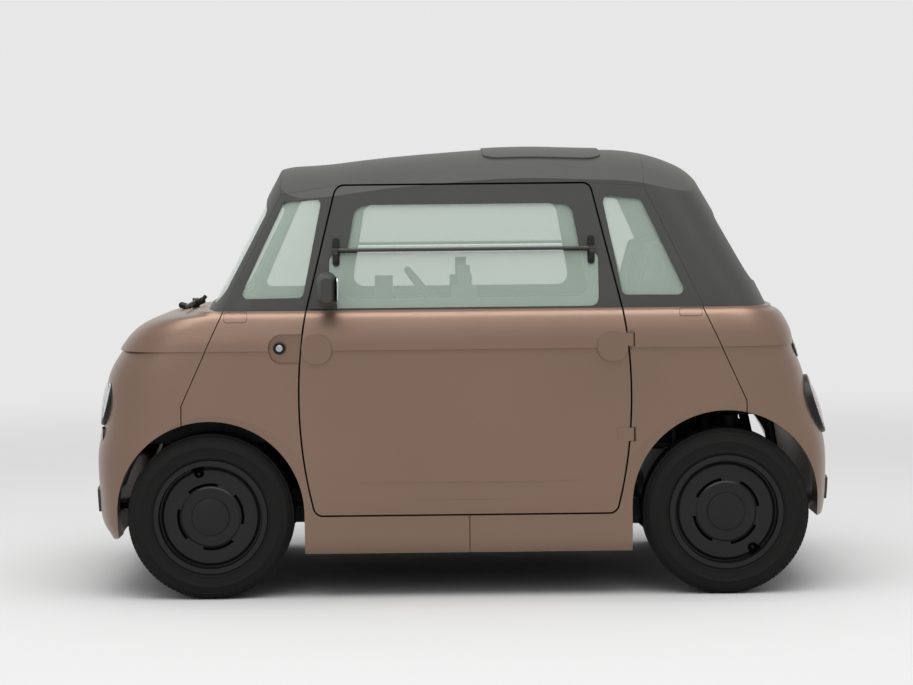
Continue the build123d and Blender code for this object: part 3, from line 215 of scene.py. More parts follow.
glazing = Finish("window_glass", srgb(190, 208, 194), 0.03, 0.0, Transmission_Weight=0.0, Alpha=0.3, IOR=1.45)
glazing.feed("Roughness", glazing.noise(5.0, 2.0) * 0.03 + 0.02)
lens_clear = Finish("lamp_lens", srgb(222, 226, 226), 0.04, 0.0, Alpha=0.3, IOR=1.5)
lens_clear.feed("Roughness", lens_clear.noise(40.0, 1.0) * 0.04 + 0.02)
lens_red = Finish("lamp_red", srgb(150, 14, 18), 0.12, 0.0, Coat_Weight=0.6)
lens_red.feed("Roughness", lens_red.noise(60.0, 1.0) * 0.06 + 0.08)
silvered = Finish("lamp_reflector", srgb(200, 203, 206), 0.16, 0.9)
silvered.feed("Roughness", silvered.noise(90.0, 2.0) * 0.1 + 0.1)
amber = Finish("lamp_amber", srgb(190, 92, 20), 0.2, 0.0, Coat_Weight=0.5)
amber.feed("Roughness", amber.noise(60.0, 1.0) * 0.1 + 0.14)

leather = Finish("wheel_grip", srgb(34, 34, 35), 0.5)
pebbles = leather.node(
    "ShaderNodeTexVoronoi", {"feature": "DISTANCE_TO_EDGE"}, {"Vector": leather.place(), "Scale": 700.0}, "Distance"
)
leather.feed("Roughness", pebbles * 0.4 + 0.42)
leather.bump(pebbles, 0.4, 0.0003)
screen = Finish("display", srgb(14, 15, 17), 0.08, 0.0, Coat_Weight=0.8)
screen.feed("Roughness", screen.noise(60.0, 2.0) * 0.08 + 0.05)
mirror = Finish("mirror_glass", srgb(205, 209, 212), 0.03, 1.0)
mirror.feed("Roughness", mirror.noise(30.0, 2.0) * 0.03 + 0.015)
plate_white = Finish("plate_white", srgb(232, 232, 228), 0.35, 0.0, Coat_Weight=0.4)
plate_white.feed("Roughness", plate_white.noise(120.0, 2.0) * 0.12 + 0.28)

cloth = Finish("seat_cloth", srgb(58, 58, 60), 0.9, 0.0, Sheen_Weight=0.3)
weave = cloth.node(
    "ShaderNodeTexWave",
    {"wave_type": "BANDS", "bands_direction": "DIAGONAL"},
    {"Vector": cloth.place(), "Scale": 420.0, "Distortion": 1.2, "Detail": 2.0},
    "Fac",
)
threads = weave * 0.6 + cloth.noise(40.0, 2.0) * 0.4
cloth.feed("Base Color", cloth.two_shades(threads, srgb(42, 42, 44), srgb(78, 78, 80)))
cloth.feed("Roughness", weave * 0.15 + 0.8)
cloth.bump(weave, 0.4, 0.0006)

# %% [markdown]
# ## The CAD nodes that stay
# The panels, glass and frame already have their true shape. Their meshes are loose triangles, so a copy of each
# is welded, and only the edges that turn sharply stay sharp. The copy then takes the place of the node.

# %% Weld a copy of a node
def give(obj, finish, body):
    obj.data.materials.clear()
    obj.data.materials.append(finish.material)
    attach(obj, body)
    return obj


def from_bmesh(bm, name):
    mesh = bpy.data.meshes.new(name)
    bm.to_mesh(mesh)
    bm.free()
    obj = bpy.data.objects.new(name, mesh)
    bpy.context.scene.collection.objects.link(obj)
    return obj


def smooth_below(bm, angle):
    for face in bm.faces:
        face.smooth = True
    for edge in bm.edges:
        edge.smooth = len(edge.link_faces) == 2 and edge.calc_face_angle(0.0) < radians(angle)


node_body = {node: body for body, nodes in frame["record"]["behaviour"]["bodies"].items() for node in nodes}


def welded(node, finish, angle=24.0):
    bm = bmesh.new()
    bm.from_mesh(frame["nodes"][node].data)
    bmesh.ops.remove_doubles(bm, verts=bm.verts, dist=2e-5)
    bmesh.ops.dissolve_degenerate(bm, dist=1e-6, edges=bm.edges)
    smooth_below(bm, angle)
    piece = give(from_bmesh(bm, node + "_skin"), finish, node_body[node])
    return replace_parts(piece, node)


painted = ["front_panel", "rear_panel"] + [
    f"side_panel_{end}_{side}" for end in ("front", "rear") for side in ("left", "right")
]
painted += ["door_left_panel", "door_right_panel"]
dark = ["roof_panel", "windscreen_frame", "rear_frame", "quarter_frames", "door_left_frame", "door_right_frame"]
dark += ["door_left_bar", "door_right_bar", "wiper", "door_left_mirror", "door_right_mirror", "bumper_pads"]
clear = ["windscreen", "rear_window", "quarter_glass", "door_left_glass", "door_right_glass"]
steelwork = ["space_frame", "front_suspension", "rear_suspension", "battery_case", "knuckle_left", "knuckle_right"]
steelwork += ["tow_eyes"]
inside = ["floor_tub", "dashboard", "seat_plinths", "steering_wheel", "wheel_liners"]
for nodes, finish, angle in (
    (painted, paint, 11), (dark, trim, 18), (clear, glazing, 24), (steelwork, steel, 24), (inside, moulded, 24)
):
    for node in nodes:
        welded(node, finish, angle)
welded("door_seals", rubber)
welded("door_hinges", paint)
welded("motor_unit", bare_metal)

# %% [markdown]
# ## Turned parts
# Tyres, lamps, the steering wheel's hub and the lock are all round, so each is a short outline turned about an
# axle. The outline is drawn as radius and height, and one matrix then stands the result where it belongs.

# %% Turn an outline
def standing_along(point, direction):
    """Matrix that takes +Z to a direction and the origin to a point."""
    return Matrix.Translation(point) @ Vector(direction).to_track_quat("Z", "Y").to_matrix().to_4x4()


def turned(outline, steps, place, closed=False):
    bm = bmesh.new()
    chain = [bm.verts.new((radius, 0, height)) for radius, height in outline]
    for first, second in zip(chain, chain[1:] + chain[:1] if closed else chain[1:]):
        bm.edges.new((first, second))
    bmesh.ops.spin(
        bm, geom=bm.verts[:] + bm.edges[:], cent=(0, 0, 0), axis=(0, 0, 1), angle=2 * pi, steps=steps, use_merge=True
    )
    bmesh.ops.remove_doubles(bm, verts=bm.verts, dist=1e-6)
    bmesh.ops.recalc_face_normals(bm, faces=bm.faces)
    bmesh.ops.transform(bm, matrix=place, verts=bm.verts)
    return bm


def finished(bm, name, finish, body, angle=32.0):
    smooth_below(bm, angle)
    return give(from_bmesh(bm, name), finish, body)


# %% [markdown]
# ## Tyres
# The outline runs from the inner bead over the tread to the outer bead, with the rim guard and two fine rings
# on the side walls. The tread's ribs are flat bands of faces after the turn. Each face is inset and lifted by
# itself, which leaves blocks with grooves between them, both along and across the tread.

# %% Side wall and tread
TYRE_STEPS = 108
BLOCK_HEIGHT = 0.0055
RIB_RADIUS, SHOULDER_RADIUS, SHOULDER_BAND = 0.2720, 0.2600, (0.0600, 0.0655)
side_wall = [
    (0.1782, 0.0600), (0.1830, 0.0655), (0.1905, 0.0712), (0.1945, 0.0738), (0.1990, 0.0744), (0.2005, 0.0758),
    (0.2030, 0.0758), (0.2045, 0.0748), (0.2190, 0.0765), (0.2320, 0.0772), (0.2332, 0.0779), (0.2352, 0.0779),
    (0.2364, 0.0770), (0.2480, 0.0752), (0.2560, 0.0722), (0.2570, 0.0730), (0.2590, 0.0722), (0.2600, 0.0702),
    (0.2670, 0.0652),
]
tread_line = [(0.2712, 0.0600), (0.2728, 0.0560), (0.2730, 0.0345), (0.2730, 0.0285), (0.2730, 0.0060)]
half = side_wall + tread_line
tyre_outline = half + [(radius, -height) for radius, height in reversed(half)]
ribs = [(0.0345, 0.0560), (0.0060, 0.0285)]


def on_rib(face):
    heights = [abs(vert.co.z) for vert in face.verts]
    radius = min(hypot(vert.co.x, vert.co.y) for vert in face.verts)
    return radius > RIB_RADIUS and any(low - 1e-4 < min(heights) and max(heights) < high + 1e-4 for low, high in ribs)


def tyre():
    bm = turned(tyre_outline, TYRE_STEPS, Matrix.Identity(4), closed=True)
    blocks = [face for face in bm.faces if on_rib(face)]
    bmesh.ops.inset_individual(bm, faces=blocks, thickness=0.0009, depth=BLOCK_HEIGHT, use_even_offset=True)
    shoulder = []
    for face in bm.faces:
        middle = face.calc_center_median()
        step = int(round(atan2(middle.y, middle.x) / (2 * pi) * TYRE_STEPS - 0.5))
        if SHOULDER_BAND[0] < abs(middle.z) < SHOULDER_BAND[1] and hypot(*middle.xy) > SHOULDER_RADIUS and step % 3:
            shoulder.append(face)
    bmesh.ops.inset_individual(bm, faces=shoulder, thickness=0.0008, depth=0.0016)
    return bm


for end in ("front", "rear"):
    for side, outboard in (("left", -1), ("right", 1)):
        node = f"tyre_{end}_{side}"
        hub = node_box(node)[2]
        bm = tyre()
        bmesh.ops.transform(bm, matrix=standing_along(hub, (0, outboard, 0)), verts=bm.verts)
        piece = finished(bm, node + "_tread", rubber, f"wheel_{end}_{side}", 38)
        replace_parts(piece, node)
        welded(f"rim_{end}_{side}", black, 30)
print("tyre", len(piece.data.polygons), "faces")

# %% [markdown]
# A valve stands in the notch of each cover. The wheels came to rest at different turns, so the angle differs.

# %% Valves
VALVE_ANGLES = (("front", 104), ("rear", -54))
for end, valve_angle in VALVE_ANGLES:
    for side, outboard in (("left", -1), ("right", 1)):
        body = f"wheel_{end}_{side}"
        hub = node_box(f"rim_{end}_{side}")[2]
        upwards = radians(valve_angle) * -outboard
        away = Vector((cos(upwards), 0, sin(upwards)))
        stem = [(0, 0), (0.0052, 0), (0.0052, 0.011), (0.0038, 0.014), (0.0038, 0.021), (0.0030, 0.023), (0, 0.023)]
        foot = hub + away * 0.150 + Vector((0, outboard * 0.048, 0))
        finished(turned(stem, 20, standing_along(foot, (0, outboard, 0))), f"valve_{end}_{side}", rubber, body)
        print("valve", end, side, "at", [round(c, 3) for c in foot])

# %% [markdown]
# ## Slots of the wheel covers
# Four arc-shaped slots run around the raised middle of each cover. A small rectangle spun about the axle makes each
# cutter, and one boolean takes all four out of the cover's copy. What lies deep in a slot or in the valve's notch
# gets a near-black finish: painted shade for the dark inside these hollows.

# %% Cut the slots
SLOT_RING, SLOT_HALF_WIDTH, SLOT_DEPTH, SLOT_SWEEP = 0.108, 0.005, 0.007, 56
COVER_FACE = 0.019  # how far the cover's face lies inside the rim's outer edge
NOTCH_RING, NOTCH_REACH, SHADE_FROM, SHADE_TO = 0.158, 0.022, 0.003, 0.012
for end, valve_angle in VALVE_ANGLES:
    for side, outboard in (("left", -1), ("right", 1)):
        low, high, hub = node_box(f"rim_{end}_{side}")
        face_y = (low.y if outboard < 0 else high.y) - outboard * COVER_FACE
        pivot = Vector((hub.x, face_y, hub.z))
        bm = bmesh.new()
        for k in range(4):
            made = bmesh.ops.create_grid(bm, x_segments=1, y_segments=1, size=1)["verts"]
            bmesh.ops.scale(bm, vec=(SLOT_HALF_WIDTH, SLOT_DEPTH, 1), verts=made)
            bmesh.ops.translate(bm, vec=pivot + Vector((SLOT_RING, 0, 0)), verts=made)
            start = Matrix.Rotation(radians(valve_angle - SLOT_SWEEP / 2 + 90 * k), 3, (0, outboard, 0))
            bmesh.ops.rotate(bm, cent=pivot, matrix=start, verts=made)
            profile = list({face for vert in made for face in vert.link_faces})
            bmesh.ops.spin(
                bm,
                geom=made + list({edge for vert in made for edge in vert.link_edges}) + profile,
                cent=pivot,
                axis=(0, outboard, 0),
                angle=radians(SLOT_SWEEP),
                steps=20,
            )
        bmesh.ops.recalc_face_normals(bm, faces=bm.faces)
        cutter = from_bmesh(bm, "slot_cutter")
        cover = bpy.data.objects[f"rim_{end}_{side}_skin"]
        cut = cover.modifiers.new("slots", "BOOLEAN")
        cut.object, cut.operation, cut.solver = cutter, "DIFFERENCE", "EXACT"
        carved = cover.evaluated_get(bpy.context.evaluated_depsgraph_get()).to_mesh()
        before = len(cover.data.polygons)
        bm = bmesh.new()
        bm.from_mesh(carved)
        smooth_below(bm, 24)
        notch = pivot + Matrix.Rotation(radians(valve_angle), 3, (0, outboard, 0)) @ Vector((NOTCH_RING, 0, 0))
        # Faces deep in a slot or in the notch take the painted shade.
        for face in bm.faces:
            middle = face.calc_center_median()
            deep = SHADE_FROM < (face_y - middle.y) * outboard < SHADE_TO
            from_axle = hypot(middle.x - hub.x, middle.z - hub.z)
            in_slot = abs(from_axle - SLOT_RING) < SLOT_HALF_WIDTH + 0.001
            in_notch = hypot(middle.x - notch.x, middle.z - notch.z) < NOTCH_REACH
            face.material_index = int(deep and (in_slot or in_notch))
        cover.modifiers.clear()
        bm.to_mesh(cover.data)
        cover.data.materials.append(shadow.material)
        bm.free()
        bpy.data.objects.remove(cutter)
        print(cover.name, before, "faces, with slots", len(cover.data.polygons))

# %% [markdown]
# ## Lamps
# Every lamp is a black rim, a bowl behind, a light ring and a domed lens, all turned about the lamp's own axis.
# The bowl is silvered in the headlamps. In the tail lamps the ring is red and the lens stays clear, so the red
# shows as a circle within a clear body, also from the side.

# %% Rim, bowl, ring and lens
def dome(radius, low, height, count=9):
    """Points of a shallow dome, from its edge to its middle."""
    bend = (radius**2 + height**2) / (2 * height)
    reach = atan2(radius, bend - height)
    return [
        (bend * sin(reach * (1 - k / count)), low + height - bend * (1 - cos(reach * (1 - k / count))))
        for k in range(count + 1)
    ]


def mirrored(point, side):
    return point[0], point[1] * side, point[2]


def lamp(name, point, outward, radius, depth, proud, rise, bowl_finish, ring_finish, ring_width):
    rim = radius * 0.12
    lens = radius - rim
    for side in (1, -1):
        place = standing_along(mirrored(point, side), mirrored(outward, side))
        side_name = name + ("_left" if side > 0 else "_right")
        casing = [
            (radius, -depth), (radius, proud - rim * 0.45), (radius - rim * 0.12, proud - rim * 0.18),
            (radius - rim * 0.4, proud), (lens + rim * 0.1, proud - rim * 0.02), (lens, proud - rim * 0.2),
            (lens, proud - rim * 0.9), (lens - rim * 0.2, -depth * 0.8), (radius * 0.3, -depth),
        ]
        bowl = [
            (lens - 0.0004, proud - rim * 0.5), (lens * 0.93, proud - depth * 0.25),
            (lens * 0.74, proud - depth * 0.55), (lens * 0.45, proud - depth * 0.8),
            (lens * 0.2, proud - depth * 0.9), (0, proud - depth * 0.92),
        ]
        ring_radius = lens - ring_width * 1.15
        ring = [
            (ring_radius + ring_width / 2 * cos(k * pi / 6), proud - rim * 0.55 + ring_width / 2.4 * sin(k * pi / 6))
            for k in range(12)
        ]
        outer_lens = dome(lens - 0.0003, proud - 0.0002, rise)
        inner_lens = dome(lens - 0.0005, proud - 0.0022, rise)
        rim_piece = finished(turned(casing, 72, place, closed=True), side_name + "_rim", black, "chassis")
        finished(turned(bowl, 72, place), side_name + "_bowl", bowl_finish, "chassis", 60)
        finished(turned(ring, 72, place, closed=True), side_name + "_ring", ring_finish, "chassis", 60)
        finished(turned(outer_lens + inner_lens[::-1], 72, place), side_name + "_lens", lens_clear, "chassis", 60)
    return rim_piece


glow = Finish("lamp_ring", srgb(238, 240, 242), 0.3, 0.0, Coat_Weight=0.4)
glow.feed("Roughness", glow.noise(80.0, 1.0) * 0.1 + 0.25)
HEADLAMP, HEADLAMP_AXIS = (-1.207, -0.470, 0.673), (-1, -0.16, 0.25)
TAIL_AXIS = (1, -0.16, 0.33)
first = lamp("headlamp", HEADLAMP, HEADLAMP_AXIS, 0.101, 0.070, 0.009, 0.014, silvered, glow, 0.014)
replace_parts(first, "front_lamps")
lamp("indicator", (-1.225, -0.505, 0.541), (-1, -0.2, 0.03), 0.032, 0.025, 0.006, 0.006, silvered, amber, 0.008)
first = lamp("tail_lamp", (1.193, -0.470, 0.622), TAIL_AXIS, 0.104, 0.070, 0.015, 0.010, silvered, lens_red, 0.022)
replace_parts(first, "tail_lamps")
lamp("upper_lamp", (1.127, -0.470, 0.815), TAIL_AXIS, 0.034, 0.030, 0.008, 0.004, black, lens_red, 0.006)
print("a tail lamp's rim has", len(first.data.polygons), "faces")

# %% [markdown]
# A short black barrel with a small dome fills the middle of each headlamp.

# %% Projector in the middle of each headlamp
for side, side_name in ((1, "left"), (-1, "right")):
    place = standing_along(mirrored(HEADLAMP, side), mirrored(HEADLAMP_AXIS, side))
    barrel = [(0.031, -0.052), (0.031, -0.022), (0.029, -0.020), (0.0262, -0.020)]
    finished(turned(barrel, 48, place), f"projector_{side_name}", black, "chassis")
    finished(turned(dome(0.0262, -0.0205, 0.012), 48, place), f"projector_lens_{side_name}", lens_clear, "chassis", 60)
print("a projector's barrel has", len(barrel), "points")

# %% [markdown]
# ## Plates and lids on the skin
# A lid's outline is flat, and the skin isn't. So a flat grid with rounded corners is made first, and each of its
# points then slides along one direction until it meets the skin. It is lifted a hair and given a thickness.

# %% Lay a grid on the skin
skin = {}


def skin_of(node):
    if node not in skin:
        bm = bmesh.new()
        bm.from_mesh(frame["nodes"][node].data)
        skin[node] = BVHTree.FromBMesh(bm)
        bm.free()
    return skin[node]


def laid_on(nodes, centre, size, corner, across, up, into, lift, thickness, name, finish, body):
    """A rounded plate that follows the skin, seen along a direction."""
    across, up, into = Vector(across), Vector(up), Vector(into)
    bm = bmesh.new()
    bmesh.ops.create_grid(bm, x_segments=28, y_segments=18, size=1)
    for vert in bm.verts:
        x, y = vert.co.x * size[0] / 2, vert.co.y * size[1] / 2
        over_x, over_y = abs(x) - size[0] / 2 + corner, abs(y) - size[1] / 2 + corner
        if over_x > 0 and over_y > 0 and hypot(over_x, over_y) > corner:
            pull = corner / hypot(over_x, over_y)
            x = (abs(x) - over_x * (1 - pull)) * (1 if x > 0 else -1)
            y = (abs(y) - over_y * (1 - pull)) * (1 if y > 0 else -1)
        start = Vector(centre) + across * x + up * y - into
        hits = [hit for hit in (skin_of(node).ray_cast(start, into) for node in nodes) if hit[0]]
        nearest = min(hits, key=lambda hit: hit[3])[0] if hits else start + into
        vert.co = nearest - into * lift
    bmesh.ops.solidify(bm, geom=bm.verts[:] + bm.edges[:] + bm.faces[:], thickness=thickness)
    bmesh.ops.recalc_face_normals(bm, faces=bm.faces)
    return finished(bm, name, finish, body, 40)


LID_X, LID_LENGTH, LID_TOP_Z = 0.7595, 0.075, 0.9635
for side, side_name in ((-1, "left"), (1, "right")):
    for end, x, height in (("front", -LID_X, 0.033), ("rear", LID_X, 0.026)):
        panel = f"side_panel_{end}_{side_name}"
        for margin, colour, lift in ((0.0012, black, 0.0004), (0.0, paint, 0.0009)):
            size = (LID_LENGTH + margin * 2, height + margin * 2)
            laid_on(
                [panel], (x, 0.75 * side, LID_TOP_Z - height / 2), size, 0.010, (1, 0, 0), (0, 0, 1), (0, -side, 0),
                lift, 0.001, f"lid_{end}_{side_name}_{colour.material.name}", colour, "chassis",
            )
for end, x, z, node in (("front", -1.35, 0.385, "front_panel"), ("rear", 1.35, 0.43, "rear_panel")):
    into = (1 if x < 0 else -1, 0, 0)
    for width, height, finish, lift in ((0.526, 0.118, black, 0.002), (0.520, 0.110, plate_white, 0.004)):
        plate = laid_on(
            [node], (x, 0, z), (width, height), 0.012, (0, 1, 0), (0, 0, 1), into, lift, 0.0022,
            f"plate_{end}_{finish.material.name}", finish, "chassis",
        )
print("a plate has", len(plate.data.polygons), "faces")

# %% [markdown]
# Each end of the bar across a door window is held by a foot on the frame and a clasp over it.

# %% Brackets of the window bars
DOOR_MIDDLE_X, BRACKET_X, BRACKET_Z = 0.004, 0.427, 1.160
for side_name, side in (("left", -1), ("right", 1)):
    for end in (-1, 1):
        x = DOOR_MIDDLE_X + BRACKET_X * end
        for name, size, lift, thickness in (
            ("foot", (0.024, 0.094), 0.0062, 0.006), ("clasp", (0.015, 0.050), 0.0172, 0.0112)
        ):
            laid_on(
                [f"door_{side_name}_frame"], (x, 0.8 * side, BRACKET_Z), size, size[0] * 0.45,
                (1, 0, 0), (0, 0, 1), (0, -side, 0), lift, thickness, f"bar_{name}_{side_name}_{end + 2}",
                black, f"door_{side_name}",
            )
print("bar brackets at x", DOOR_MIDDLE_X - BRACKET_X, "and", DOOR_MIDDLE_X + BRACKET_X)

# %% [markdown]
# ## Behind the gaps
# A strip of rubber runs behind the upright edges of each door, so that no daylight passes between door and wing.
# The edge is an arc, so a short radial line spun about the arc's centre follows it.

# %% Strips behind the doors' edges
ARC_CENTRE, ARC_RADIUS, ARC_FROM, ARC_TO = Vector((-0.687, 0, 0.632)), 1.2388, -15.5, 15.3
STRIP_INNER, STRIP_OUTER, STRIP_Y = 0.012, 0.020, 0.648
for side in (-1, 1):
    for end in (-1, 1):
        bm = bmesh.new()
        foot = bm.verts.new(ARC_CENTRE + Vector((ARC_RADIUS - STRIP_INNER, 0, 0)))
        tip = bm.verts.new(ARC_CENTRE + Vector((ARC_RADIUS + STRIP_OUTER, 0, 0)))
        bm.edges.new((foot, tip))
        turn = Matrix.Rotation(radians(-ARC_FROM), 3, "Y")
        bmesh.ops.rotate(bm, cent=ARC_CENTRE, matrix=turn, verts=bm.verts)
        bmesh.ops.spin(
            bm, geom=bm.verts[:] + bm.edges[:], cent=ARC_CENTRE, axis=(0, -1, 0),
            angle=radians(ARC_TO - ARC_FROM), steps=32,
        )
        bmesh.ops.solidify(bm, geom=bm.verts[:] + bm.edges[:] + bm.faces[:], thickness=0.004)
        bmesh.ops.scale(bm, vec=(end, 1, 1), verts=bm.verts)
        bmesh.ops.translate(bm, vec=(DOOR_MIDDLE_X, side * STRIP_Y, 0), verts=bm.verts)
        bmesh.ops.recalc_face_normals(bm, faces=bm.faces)
        strip = finished(bm, f"edge_strip_{end + 2}_{side + 2}", rubber, "chassis")
print("a strip has", len(strip.data.polygons), "faces")

# %% [markdown]
# The front wheel housings get their inner wall: a disc that is cut level above the reach of the turned wheel.

# %% Inner walls of the front wheel housings
WALL_RADIUS, WALL_Y, WALL_CENTRE_Z, WALL_FOOT_Z = 0.3185, 0.424, 0.285, 0.505
for side, side_name in ((-1, "left"), (1, "right")):
    hub = node_box(f"tyre_front_{side_name}")[2]
    bm = bmesh.new()
    bmesh.ops.create_circle(bm, cap_ends=True, segments=96, radius=WALL_RADIUS)
    bmesh.ops.rotate(bm, cent=(0, 0, 0), matrix=Matrix.Rotation(radians(90), 3, "X"), verts=bm.verts)
    bmesh.ops.translate(bm, vec=(hub.x, side * WALL_Y, WALL_CENTRE_Z), verts=bm.verts)
    bmesh.ops.bisect_plane(
        bm, geom=bm.verts[:] + bm.edges[:] + bm.faces[:], plane_co=(0, 0, WALL_FOOT_Z), plane_no=(0, 0, -1),
        clear_outer=True,
    )
    bmesh.ops.solidify(bm, geom=bm.verts[:] + bm.edges[:] + bm.faces[:], thickness=0.003)
    bmesh.ops.recalc_face_normals(bm, faces=bm.faces)
    wall = finished(bm, f"housing_wall_{side_name}", moulded, "chassis")
print("a housing's wall has", len(wall.data.polygons), "faces")

# %% [markdown]
# ## Lock and wiper
# The lock in each handle recess is a black collar around a bare core with a small hole for the key's tip.

# %% Lock barrels
LOCK_Y, LOCK_Z = 0.684, 0.843
for x, side in ((-0.613, -1), (0.621, 1)):
    place = standing_along((x, side * LOCK_Y, LOCK_Z), (0, side, 0))
    collar = [
        (0.0205, -0.012), (0.0205, 0.003), (0.0190, 0.0045), (0.0160, 0.0045), (0.0150, 0.0015), (0.0110, 0.0012),
    ]
    core = [(0.0112, -0.004), (0.0112, 0.0036), (0.0100, 0.0046), (0.0016, 0.0046), (0.0014, 0.0030), (0, 0.0030)]
    finished(turned(collar, 40, place), f"lock_collar_{side + 2}", black, "chassis", 30)
    finished(turned(core, 40, place), f"lock_core_{side + 2}", bare_metal, "chassis", 30)
    print("lock at x", x)

# %% [markdown]
# The wiper's foot is three well-rounded blocks: the cap over its post, the arm's knuckle and the spring's cover.

# %% Wiper cap, knuckle and spring cover
for name, size, place, tilt, bevel in (
    ("wiper_cap", (0.046, 0.034, 0.022), (-0.992, -0.018, 0.960), 18, 0.0105),
    ("wiper_knuckle", (0.050, 0.026, 0.024), (-0.944, -0.012, 0.973), -24, 0.007),
    ("wiper_spring", (0.030, 0.016, 0.014), (-0.926, -0.012, 0.985), -52, 0.004),
):
    bm = bmesh.new()
    bmesh.ops.create_cube(bm, size=1)
    bmesh.ops.scale(bm, vec=size, verts=bm.verts)
    bmesh.ops.bevel(bm, geom=bm.edges[:], offset=bevel, segments=5, profile=0.5, affect="EDGES", material=-1)
    bmesh.ops.rotate(bm, cent=(0, 0, 0), matrix=Matrix.Rotation(radians(tilt), 3, "Y"), verts=bm.verts)
    bmesh.ops.translate(bm, vec=place, verts=bm.verts)
    print(name, len(finished(bm, name, black, "chassis", 40).data.polygons), "faces")

# %% [markdown]
# ## Seats
# Each pad starts as its CAD solid, a little shrunk, as one even skin of small faces. Air pressure then swells it
# while its sewn lines and its underside stay pinned, which is how a stuffed seat gets its shape.

# %% Swell a pad
def island_of(node, chosen):
    """A copy of the part of a node whose middle satisfies a test."""
    bm = bmesh.new()
    bm.from_mesh(frame["nodes"][node].data)
    bmesh.ops.remove_doubles(bm, verts=bm.verts, dist=2e-5)
    left = set(bm.verts)
    while left:
        island, edge = set(), {left.pop()}
        while edge:
            island |= edge
            edge = {other for vert in edge for link in vert.link_edges for other in link.verts} - island
        left -= island
        low = Vector([min(vert.co[k] for vert in island) for k in range(3)])
        high = Vector([max(vert.co[k] for vert in island) for k in range(3)])
        if not chosen((low + high) / 2):
            bmesh.ops.delete(bm, geom=list(island), context="VERTS")
    return bm


def even_skin(bm, name, voxel, shrink):
    """The same form as one skin of even faces, drawn in a little to leave room for the swelling."""
    raw = from_bmesh(bm, name)
    remesh = raw.modifiers.new("even", "REMESH")
    remesh.mode, remesh.voxel_size = "VOXEL", voxel
    smoothing = raw.modifiers.new("soft", "SMOOTH")
    smoothing.factor, smoothing.iterations = 0.5, 6
    mesh = bpy.data.meshes.new_from_object(raw.evaluated_get(bpy.context.evaluated_depsgraph_get()))
    bpy.data.objects.remove(raw)
    for vert in mesh.vertices:
        vert.co = vert.co - vert.normal * shrink
    pad = bpy.data.objects.new(name, mesh)
    bpy.context.scene.collection.objects.link(pad)
    return pad


def swell(pad, pinned, limit, frames=20):
    """Blow the pad up by air pressure, with the pinned points held and no point moved past the limit."""
    group = pad.vertex_groups.new(name="sewn")
    group.add([vert.index for vert in pad.data.vertices if pinned(vert.co)], 1.0, "REPLACE")
    cloth_modifier = pad.modifiers.new("air", "CLOTH")
    settings = cloth_modifier.settings
    settings.quality, settings.mass, settings.air_damping = 4, 0.3, 1.0
    settings.use_pressure, settings.uniform_pressure_force = True, 4.0
    settings.effector_weights.gravity = 0
    settings.vertex_group_mass = "sewn"
    start = [vert.co.copy() for vert in pad.data.vertices]
    for number in range(1, frames + 1):
        bpy.context.scene.frame_set(number)
    swollen = pad.evaluated_get(bpy.context.evaluated_depsgraph_get())
    moved = [vert.co.copy() for vert in swollen.data.vertices]
    pad.modifiers.clear()
    for vert, before, after in zip(pad.data.vertices, start, moved):
        step = after - before
        vert.co = before + step * min(1.0, limit / max(step.length, 1e-9))
    bpy.context.scene.frame_set(1)


def seat_pad(name, chosen, channels, limit, copies):
    pad = even_skin(island_of("seats", chosen), name, 0.006, 0.007)
    swell(pad, lambda point: any(abs(channel(point)) < 0.004 for channel in channels), limit)
    bm = bmesh.new()
    bm.from_mesh(pad.data)
    bmesh.ops.smooth_vert(bm, verts=bm.verts, factor=0.35, use_axis_x=True, use_axis_y=True, use_axis_z=True)
    smooth_below(bm, 80)
    bpy.data.objects.remove(pad)
    made = []
    for side_name, shift in copies:
        copy = bm.copy()
        bmesh.ops.translate(copy, verts=copy.verts, vec=shift)
        piece = give(from_bmesh(copy, f"{name}_{side_name}"), cloth, "chassis")
        made.append(piece)
    bm.free()
    return made


seat_y = node_box("steering_wheel")[2].y + 0.03
both_seats = [("left", (0, 0, 0)), ("right", (0, -2 * seat_y, 0))]
across_lines = [lambda p, c=c: abs(p.y - seat_y) - c for c in (0.135,)]
cushion = seat_pad(
    "cushion", lambda middle: middle.y < 0 and middle.z < 0.7,
    across_lines + [lambda p, x=x: p.x - x for x in (0.27, 0.37, 0.47)] + [lambda p: min(p.z - 0.512, 0)],
    0.011, both_seats,
)
backrest = seat_pad(
    "backrest", lambda middle: middle.y < 0 and middle.z > 0.7,
    across_lines + [lambda p, z=z: p.z - z for z in (0.70, 0.82, 0.94, 1.02)],
    0.011, both_seats,
)
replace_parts(cushion[0], "seats")
print("seat pads", [len(piece.data.polygons) for piece in cushion + backrest])

# %% [markdown]
# A plane cuts each pad near its edge, and the closed line of the cut becomes a round cord: the piping.

# %% Piping along the seat's edge
def piping(pad, point, normal, name):
    bm = bmesh.new()
    bm.from_mesh(pad.data)
    cut = bmesh.ops.bisect_plane(
        bm, geom=bm.verts[:] + bm.edges[:] + bm.faces[:], plane_co=point, plane_no=normal
    )["geom_cut"]
    ring = [item for item in cut if isinstance(item, bmesh.types.BMEdge)]
    ordered, edge = [ring[0].verts[0]], ring[0]
    left = set(ring)
    while edge:
        left.discard(edge)
        ordered.append(edge.other_vert(ordered[-1]))
        edge = next((link for link in ordered[-1].link_edges if link in left), None)
    curve = bpy.data.curves.new(name, "CURVE")
    curve.dimensions, curve.bevel_depth, curve.bevel_resolution = "3D", 0.0026, 3
    line = curve.splines.new("POLY")
    points = [vert.co.copy() for vert in ordered[:-1:3]]
    line.points.add(len(points) - 1)
    for spot, place in zip(line.points, points):
        spot.co = (*place, 1)
    line.use_cyclic_u = True
    bm.free()
    holder = bpy.data.objects.new(name, curve)
    bpy.context.scene.collection.objects.link(holder)
    return give(holder, moulded, "chassis")


